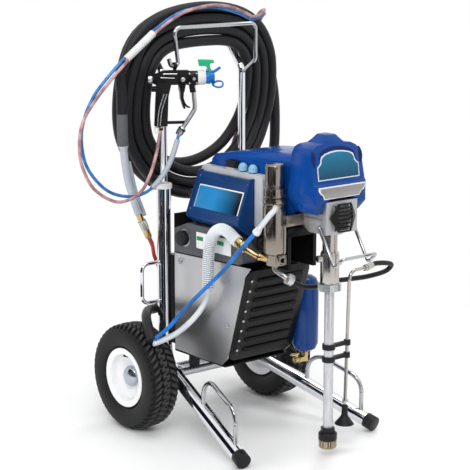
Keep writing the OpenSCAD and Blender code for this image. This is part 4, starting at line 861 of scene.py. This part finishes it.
# name, half width, foot and top in millimetres, how far it stands out, look and rows
SHIELD_PLATES = [
    ("upper_plate_border", 64, mirrored((64, 669)),
     mirrored((0, 733), (20, 731.5), (38, 728), (49, 723), (52, 717), (52.6, 711), (57, 705), (64, 700)),
     0.7, "plate_white", 14),
    ("upper_plate", 61.4, mirrored((61.4, 671.6)),
     mirrored((0, 730.4), (20, 729), (37, 725.4), (46, 720.5), (49.6, 715), (50.2, 708), (55.5, 702.6), (61.4, 698)),
     1.2, "teal", 14),
    ("arch_shadow", 58, mirrored((0, 735), (20, 733.6), (38, 730), (50, 724), (54, 716), (58, 715)),
     mirrored((0, 742.5), (20, 741), (40, 736), (52, 729), (58, 716)), 0.25, "shade_blue", 14),
    ("lower_plate_border", 72, mirrored((54, 627), (60, 637), (64, 639.5), (67, 641), (72, 648)),
     mirrored((72, 656)), 0.7, "plate_white", 18),
    ("lower_plate", 68.4, mirrored((52.4, 629.6), (58, 639.4), (62, 642), (65, 643.6), (68.4, 649)),
     mirrored((68.4, 653.6)), 1.2, "plate_silver", 18),
]
RECESS_FOOT = np.array([(66.5, 722), (68, 706), (71, 700), (74, 701), (77, 706), (78.5, 716)])
RECESS_TOP = np.array([(66.5, 723), (68, 732), (71, 737), (74, 736), (77, 728), (78.5, 717)])
RECESS_COLUMNS = 13
SIDES = (("left", -1), ("right", 1))


def add_shield_plates():
    """A notched arch plate and a trapezoid plate, each with a pale border, a painted shadow on the arch over the upper
    one, and a dark plate of painted shade for a recess and a skirt screw beside them."""
    for name, half, foot, top, lift, look, rows in SHIELD_PLATES:
        shield_plate(name, np.linspace(-half, half, int(2 * half) + 1), foot, top, lift, look, rows)
    # thin dark plates of painted shade where the recesses beside the upper plate lie in shade
    for name, side in SIDES:
        foot, top = ((outline * (side, 1))[::side].T for outline in (RECESS_FOOT, RECESS_TOP))
        xs = np.linspace(foot[0, 0], foot[0, -1], RECESS_COLUMNS)
        shield_plate("corner_recess_shade_" + name, xs, foot, top, 0.3, "shade_blue")
    for name, side in SIDES:
        turned_piece("skirt_screw_" + name, at((77 * side, -450, 608)), (side, 0, 0),
                     [(0, 0), (4.5, 0), (4.5, 2.2), (3, 3), (3, 1.6), (0, 1.6)], "cart plain_steel dark_steel", 20)


# ---- the control box and its neighbours

PANEL_TOP, PANEL_FOOT = np.array([-101.5, 0, 645.0]), np.array([-136.0, 0, 556.0])
PANEL_OUT = unit(np.array([-89.0, 0, 34.5]))


def on_panel(y, t, out):
    """A point of the box's slanted face: y along the box, t of the way down it, out millimetres above it."""
    return at(PANEL_TOP + (PANEL_FOOT - PANEL_TOP) * t + PANEL_OUT * out + (0, y, 0))


def add_control_box_details():
    """A bare coloured plate with a pale border and screws on the slanted face, soft domed boots over the two
    breakers (a round foot, upright walls and a half ball) and a black frame round the rocker."""
    for name, width, height, out, look in (
        ("panel_border", 164.5, 60, -1.5, "plate_white"), ("panel_plate", 158.5, 54, -0.2, "panel"),
    ):
        slab_piece(name, rounded_outline(width, height, 2, 3), 1.6, on_panel(-209, 0.58, out), (0, -1, 0),
                   PANEL_TOP - PANEL_FOOT, "cart navy_plastic " + look, 0.3)
    heads = [on_panel(y, t, 0) for y, t in ((-297, 0.06), (-297, 0.5), (-297, 0.93), (-117, 0.06), (-117, 0.93))]
    dome_set("panel_screws", heads, PANEL_OUT, 3.0, 1.6, "cart plain_steel dark_steel", 12)
    t = np.linspace(0, math.pi / 2, 9)
    ball = np.stack([10.8 * np.cos(t), 7.5 + 10.8 * np.sin(t)], -1)
    ball[-1, 0] = 0
    boot = np.vstack([[0, 0], [10.8, 0], [11.2, 1], [10.8, 2], ball])
    for name, y in (("rear", -254), ("front", -290)):
        turned_piece(name + "_breaker_boot", at((-83, y, 666.6)), (0, 0, 1), boot,
                     name + "_button pale_button pale_cap", 36)
    ring_plate("switch_frame", rounded_outline(17, 34, 2, 4), rounded_outline(12, 25, 1, 4), 16.5,
               at((-81, -213, 669)), (1, 0, 0), (0, 1, 0), "cart black_plastic black_plastic")


def add_console_details():
    """A pale plate with two bare green tags beside the regulator knob, and a collar behind the knob."""
    for name, x, y, z, width, height, corner, thick, bevel, wear in (
        ("console_plate", -120.6, -190, 484, 132, 40, 2, 1.3, 0.3, "grey_plastic plate_white"),
        ("green_tag_rear", -121.9, -139, 489, 24, 10, 1, 0.6, 0.2, "tip_green green_tag"),
        ("green_tag_front", -121.9, -217, 490, 24, 10, 1, 0.6, 0.2, "tip_green green_tag"),
    ):
        slab_piece(name, rounded_outline(width, height, corner, 3), thick, at((x, y, z)), (0, -1, 0), (0, 0, 1),
                   "cart " + wear, bevel)
    turned_piece("regulator_collar", at((-122, -80, 482)), (-1, 0, 0),
                 [(5.5, 0), (21.5, 0), (21.5, 1.2), (20.5, 1.8), (5.5, 1.8), (5.5, 0)], "cart plain_steel steel", 40)


# ---- cover, panels, wheels and pump details

COVER_LOW, COVER_TOP = np.array([0, -242.0, 205.0]), np.array([0, -313.0, 437.0])
COVER_UP, COVER_OUT = unit(COVER_TOP - COVER_LOW), unit(np.array([0, -232.0, -71.0]))
LOUVRES, LOUVRE_STEP = 8, 27


def on_cover(x, along, out):
    """A point of the leaning cover: x across, along its slope and out from its face, in millimetres."""
    return at(COVER_LOW + COVER_UP * along + COVER_OUT * out + (x, 0, 0))


def add_cover_details():
    """Bright rivets at the louvres' ends, a bright edge strip down the cover's left side and two side screws."""
    rivets = [on_cover(-102, 28 + LOUVRE_STEP * i, 4.8) for i in range(LOUVRES)]
    dome_set("cover_rivets", rivets, COVER_OUT, 3.4, 1.8, "cart plain_steel steel", 14)
    strip = evenly(np.stack([on_cover(-120.5, 24, 0.4), on_cover(-120.5, 218, 0.4)]), 0.02)
    tube_piece("cover_edge", strip, 1.6, "cart plain_steel chrome", 10)
    head = [(0, 0), (6.6, 0), (6.6, 1.2), (5.2, 2.6), (2.2, 3), (1.8, 1.8), (0, 1.8)]
    for name, y, z in (("side_screw_front", -243, 293), ("side_screw_rear", -60, 420)):
        turned_piece(name, at((-124.6, y, z)), (-1, 0, 0), head, "cart plain_steel steel", 24)


TREAD_PITCHES, TREAD_DEPTH, TREAD_SIDES, TREAD_FROM = 48, 0.0058, 720, 0.110
TYRE_PROFILE = np.array([
    (63, -29), (75, -31), (82, -39), (90, -41.6), (99, -43), (108, -43), (117, -42), (124, -38.6), (128.6, -33),
    (131.4, -26), (132.6, -16), (133, -5),
]) * MM
HUB_CAP = [
    (0, 27), (8, 26.6), (14.2, 25.4), (19, 23.4), (22.6, 21.2), (25.4, 17.4), (26.5, 15.2), (26.5, 11.4), (25.2, 11.4),
    (21, 20.4), (0, 25.6),
]
RIM_BEAD = [
    (62.5, 30.5), (64.5, 34.2), (67.5, 36.2), (71, 37.6), (73.6, 37), (74.4, 35.2), (72.5, 34.4), (66, 32.5),
    (62.5, 30.5),
]
VALVE_STEM = [(0, 0), (4.5, 0), (4.5, 5), (3.2, 8), (3.2, 17), (2.4, 18), (0, 18)]


# the tread, in metres across the tyre: its two zigzags, the cuts beside and between them, and where all end
ZIG_AT, ZIG_SWING, ZIG_HALF, ZIG_WALL = 0.0115, 0.0024, 0.0036, 0.0012
SIDE_FROM, MIDDLE_TO, CUT_WALL, SIDE_SLANT, MIDDLE_SLANT = 0.0120, 0.0110, 0.002, 38, 55
TREAD_TO, TREAD_FADE = 0.0405, 0.004


def pulse(x, half, soft):
    """1 within half of a whole number, falling to 0 over soft on both sides."""
    away = np.abs(x - np.round(x))
    return np.clip((half + soft - away) / soft, 0, 1)


def tread(angle, h):
    """How deep the tread is cut at an angle and a height across, 0 to 1: two zigzag grooves round the tyre,
    slanted grooves out to the shoulders and fine cuts between the zigzags."""
    turn = angle / (2 * math.pi) * TREAD_PITCHES
    zig = 2 * np.abs(turn - np.round(turn)) * 2 - 1
    wide = np.abs(h)
    ring = np.clip((ZIG_HALF - np.abs(wide - ZIG_AT - ZIG_SWING * zig)) / ZIG_WALL, 0, 1)
    side_cut = pulse(turn + 0.25 * np.sign(h) + wide * SIDE_SLANT, 0.17, 0.08)
    side = np.clip((wide - SIDE_FROM) / CUT_WALL, 0, 1) * side_cut
    middle = np.clip((MIDDLE_TO - wide) / CUT_WALL, 0, 1) * pulse(turn + 0.5 + h * MIDDLE_SLANT, 0.12, 0.08)
    fade = np.clip((TREAD_TO - wide) / TREAD_FADE, 0, 1)
    return np.maximum(np.maximum(ring, side), middle) * fade


def add_wheels():
    """Pneumatic tyres turned from one profile, whose radius shrinks where the tread is cut. Each wheel has a
    zinc dome over its hub, a pressed bead round the rim's dish and a valve stem on the dish."""
    rows = curve_through(TYRE_PROFILE, 3)
    profile = np.vstack([rows, rows[::-1] * (1, -1), TYRE_PROFILE[:1]])
    is_tread = profile[:, :1] > TREAD_FROM
    wheels = [(name, side, np.array([side * WHEEL_X, AXLE_Y, AXLE_Z]), name + "_wheel ") for name, side in SIDES]
    for name, side, hub, body in wheels:
        tyre = revolved(hub, (side, 0, 0), profile, TREAD_SIDES,
                        lambda angle, h: np.where(is_tread, -TREAD_DEPTH * tread(angle, h), 0.0))
        add_piece(name + "_tyre_skin", tyre, body + "tyre_rubber tyre", 48, stands_for=(name + "_tyre",))
    for name, side, hub, body in wheels:
        turned_piece(name + "_hub_cap", hub, (side, 0, 0), HUB_CAP, body + "plain_steel zinc")
        turned_piece(name + "_rim_bead", hub, (side, 0, 0), RIM_BEAD, body + "white_paint rim", 72)
        turned_piece(name + "_valve_stem", hub + (side * 0.018, 0, 0.052), (side, 0, 0.25), VALVE_STEM,
                     body + "black_plastic black_plastic", 16)


BASKET_SLOT, BASKET_SLOTS_Z = 0.0007, (0.0245, 0.0400)


def add_pump_details():
    """A tan basket with twenty slots, a steel elbow under the filter, a knurled nut where the black hose leaves
    it, and the outlet's collar."""
    basket = [(0, 21.6), (17.4, 21.6), (20, 23.6), (20.5, 26), (20.5, 39), (20.2, 40.8), (0, 40.8)]
    low, high = BASKET_SLOTS_Z
    turned_piece("strainer_basket", at((0, -467, 0)), (0, 0, 1), basket, "cart black_plastic tan", 120,
                 lambda angle, h: BASKET_SLOT * ((h > low) & (h < high)) * np.sign(np.sin(20 * angle)))
    elbow = [(-98, -426.5, 440.5), (-101, -420, 444.5), (-101, -405, 448.5), (-101, -393, 453), (-101, -389, 460),
             (-101, -389, 466)]
    tube_piece("drain_elbow", route(at(elbow), 10, 2), 6.6, "cart plain_steel steel", 20)
    turned_piece("drain_nut", at((-84, -430, 432)), (-14, 3, 8),
                 [(0, -0.6), (11, -0.6), (13.1, 0.8), (13.1, 15.2), (11, 16.6), (0, 16.6)], "cart plain_steel steel",
                 ripple=lambda angle, h: 0.00035 * np.sin(30 * angle))
    turned_piece("outlet_collar", at((-150.6, -382, 546)), (2, -10, 12),
                 [(0, -2), (9.4, -2), (9.8, 0), (8.2, 12), (7.4, 14), (0, 14)], "cart white_hose white_plastic", 28)


HEX_R = 0.0105


def hex_ripple(angle, h):
    """How far a hexagon's flat lies inside its corner circle."""
    return 0 * h + (math.cos(math.pi / 6) / np.cos((angle % (math.pi / 3)) - math.pi / 6) - 1) * HEX_R


def add_tail_details():
    """The steel nut and the red end of the left tail, the slim clear tube beside its sleeve, and a white ring
    round the handle on each post's top."""
    low, high = at((-169, 18.6, 495)), at((-181, 17, 517))
    turned_piece("tail_nut", high, low - high, [(0, -1), (9.4, -1), (10.6, 0), (10.6, 24), (9.4, 26), (0, 26)],
                 "handle plain_steel steel", ripple=hex_ripple)
    end = at([(-160, 19.8, 477), (-147.8, 20, 452.8)])
    tube_piece("tail_end", evenly(end, 0.004), 5.6, "handle air_line red_tube")
    beside = [(-220, 12.5, 668), (-210, 13.5, 630), (-199, 14.5, 592), (-183, 15.5, 555), (-172, 16.5, 530)]
    tube_piece("tail_side_tube", route(at(beside), 10, 4), 4.6, "handle white_hose sleeve", 14)
    ring = [(16.5, 594.5), (20.6, 594.5), (20.6, 603.4), (19, 606.8), (12, 607.2), (12, 600), (16.5, 594.5)]
    for name, side in SIDES:
        turned_piece(name + "_post_ring", at((125 * side, 0, 0)), (0, 0, 1), ring, "cart white_plastic white_plastic")


# ---- the spray gun

GUN_AXES = np.array([(0.8660254, -0.5, 0.0), (0.5, 0.8660254, 0.0), (0.0, 0.0, 1.0)])
GUN_X, GUN_Y, GUN_Z = GUN_AXES


def gun(points):
    """Points of the gun's own frame in millimetres (along its barrel, across it, up) as metres."""
    return at((-140, -58, 873)) + np.array(points, float) @ GUN_AXES * MM


def gun_slab(name, outline, width, wear, bevel=0.6, middle=0):
    """A plate in the gun's upright plane: an outline of (along, up) pairs, centred across the barrel."""
    slab_piece(name, outline, width, gun((0, middle + width / 2, 0)), GUN_X, GUN_Z, wear, bevel)


def add_gun_head():
    """The gun's head block, its bolts, its pale retaining ring and the fluid tube down to the swivel."""
    black, steel = "handle black_paint black_paint", "handle plain_steel steel"
    slab_piece("gun_head", rounded_outline(31, 34, 11, 7), 24.5, gun((36, 0, -2)), GUN_Y, GUN_Z, black, 1.2)
    boss = [(0, 0), (8.4, 0), (8.4, 1.4), (7.4, 2), (4.4, 2), (4.2, 1), (0, 1)]
    for name, place, profile, wear, sides in (
        ("gun_boss", (50, -15.3, -2.6), boss, black, 32),
        ("gun_boss_screw", (50, -15.3, -2.6), [(0, 0.9), (3.8, 0.9), (3.8, 2.6), (2.2, 2.8), (1.8, 1.6), (0, 1.6)],
         steel, 24),
        ("trigger_pivot_head", (23.5, -16.2, -4), [(0, 0), (5.4, 0), (5.4, 1.2), (4.4, 2), (1.6, 2.2), (0, 2.2)],
         steel, 28),
    ):
        turned_piece(name, gun(place), -GUN_Y, profile, wear, sides)
    bolts = gun([(39.5, -15.2, 9.5), (56.5, -14.2, 9.5), (56.5, -14.2, -13.5), (39.5, -15.2, -13.5)])
    dome_set("gun_bolts", bolts, -GUN_Y, 2.4, 1.6, steel, 12)
    ring = [(12.5, 0), (17, 0), (17.8, 1.6), (17.9, 16.5), (16.6, 19.5), (13.6, 20.4), (12.5, 20.4), (12.5, 0)]
    turned_piece("gun_ring", gun((60.2, 0, -1)), GUN_X, ring, "tip_guard white_plastic white_plastic", 64,
                 lambda angle, h: np.where(h > 0.003, -0.0003 * (np.sin(24 * angle) > 0.6), 0.0))
    fluid = [(51, 0, -20), (52.2, 0, -45), (54.2, 0, -67), (53, 0, -78), (47.5, 0, -87.5), (35, 0, -106.5),
             (24, 0, -123)]
    tube_piece("gun_fluid_tube", route(gun(fluid), 12, 3), 5.7, "handle plain_steel pale_steel", 20)
    top, foot = gun([(24.5, 0, -122.5), (15.2, 0, -135.5)])
    swivel = [(0, -2), (7.4, -2), (8.6, 0), (8.6, 6), (9.6, 7), (9.6, 13), (8.2, 15), (8.2, 19), (6.4, 21), (0, 21)]
    fitting = turned_piece("gun_swivel", top, foot - top, swivel, steel)
    turned_piece("swivel_collar", top, foot - top, [(5, 2), (9.9, 2), (9.9, 5.6), (5, 5.6), (5, 2)],
                 "handle black_plastic black_plastic", 36)
    return fitting


def add_gun_grip():
    """Bright lines on the grip, painted highlights along the barrel as thin pale steel rods, the knob and the fitting
    under the grip.
    """
    for name, points, r in (
        ("grip_line_front", [(-15, -13, -38), (-21, -13, -56), (-28, -13, -80), (-32, -13, -114)], 1.5),
        ("grip_line_rear", [(-22, -13, -38), (-28, -13, -56), (-35, -12.9, -80), (-38.5, -12.6, -114)], 1.5),
        # the two barrel rods are painted highlights, thin pale steel rods where highlight strips lie on the gun's side
        ("barrel_highlight_top", [(-24, -12, 9.5), (-8, -12, 9.5), (10, -12, 9)], 1.6),
        ("barrel_highlight_low", [(-30, -12, 1), (-12, -12, 0), (4, -12, -1)], 1.2),
    ):
        tube_piece(name, route(gun(points), 8, 3), r, "handle plain_steel pale_steel", 12)
    turned_piece("grip_knob", gun((-38.5, -2, -114)), -GUN_Z,
                 [(0, 0), (4, 0), (4, 4), (6.4, 6), (6.6, 18), (5.6, 21), (0, 21.6)],
                 "handle white_plastic white_plastic", 28)
    return turned_piece("grip_fitting", gun((-30, 0, -115.5)), -GUN_Z,
                        [(0, 0), (7.6, 0), (7.8, 5), (6.2, 7), (6.2, 12), (0, 12)], "handle brass brass", 32)


def add_gun_trigger():
    """A slim dark trigger with a curled tip, between two cheeks."""
    wear = "trigger plain_steel black_paint"
    blade = [(14.5, 3), (20, 6), (28, 5), (31, -3), (30, -14), (27.4, -24), (25.6, -36), (26.2, -50), (29.5, -60),
             (35, -68), (42, -71), (42, -73.5), (34, -72.5), (26, -66), (21.5, -54), (20.4, -38), (20, -26), (16, -12)]
    gun_slab("trigger_blade", blade, 20, wear, 0.9)
    cheek = [(13.6, 6), (18, 10), (27, 10), (32, 4), (31, -12), (27, -26), (20, -26), (15, -10)]
    for name, side in SIDES:
        gun_slab("trigger_cheek_" + name, cheek, 2.2, wear, 0.5, side * 14.6)


def add_gun_tip():
    """The blue guard: a turned body, a short upper ear and a looped lower ear. The reversible tip: a barrel
    across the guard and a flat handle on a slanted stem."""
    blue, green = "tip_guard guard_blue guard_blue", "tip tip_green tip_green"
    body = [(0, 0), (14.2, 0), (15.6, 2), (15.6, 9), (13, 12), (12.4, 20), (10.6, 22), (4.6, 22), (4, 17), (0, 17)]
    turned_piece("guard_body", gun((79.6, 0, -1)), GUN_X, body, blue, stands_for=("gun_tip_guard",))
    ear = [(94, 10), (99, 9), (104, 10.6), (110, 14.6), (117, 20.4), (116.8, 23.4), (113.4, 24), (107, 19.4),
           (101, 15.6), (94, 15)]
    gun_slab("guard_upper_ear", ear, 11, blue)
    t = np.linspace(0, 2 * math.pi, 40, endpoint=False)
    cos, sin = np.cos(t), np.sin(t)
    outer = np.stack([111.5 + 14.5 * cos * (1 - 0.12 * cos), -18 + (9.6 + 0.8 * cos) * sin], -1)
    inner = np.stack([112.2 + 10.2 * cos * (1 - 0.10 * cos), -18 + (5.6 + 0.8 * cos) * sin], -1)
    ring_plate("guard_lower_loop", outer, inner, 9, gun((0, 4.5, 0)), GUN_X, GUN_Z, blue)
    gun_slab("guard_lower_root", [(93, -6), (99, -8), (103, -13), (101, -20), (95, -16), (92, -12)], 9, blue)
    barrel = [(0, -17), (4.4, -17), (5, -16), (5, 15), (6.6, 15.5), (6.6, 19), (0, 19)]
    turned_piece("tip_barrel", gun((88, 0, 0)), GUN_Z, barrel, green, 32, stands_for=("gun_tip",))
    flag = [(62, 41.5), (64, 42.4), (84, 41.5), (98, 40.6), (101, 38.6), (101.2, 35), (98.6, 32.6), (92.4, 32),
            (91, 28), (92.6, 18), (86, 17), (83.4, 23), (80, 26.2), (64.6, 25.6), (63.4, 33)]
    gun_slab("tip_flag", flag, 6.4, green, 1.1)


# ---- the scene

add_camera()
add_stage()
add_paint_hose()
add_air_lines(add_gun_head(), add_gun_grip())
add_machine_hoses()
add_shield_plates()
add_control_box_details()
add_console_details()
add_cover_details()
add_wheels()
add_pump_details()
add_tail_details()
add_gun_trigger()
add_gun_tip()
dress_nodes()
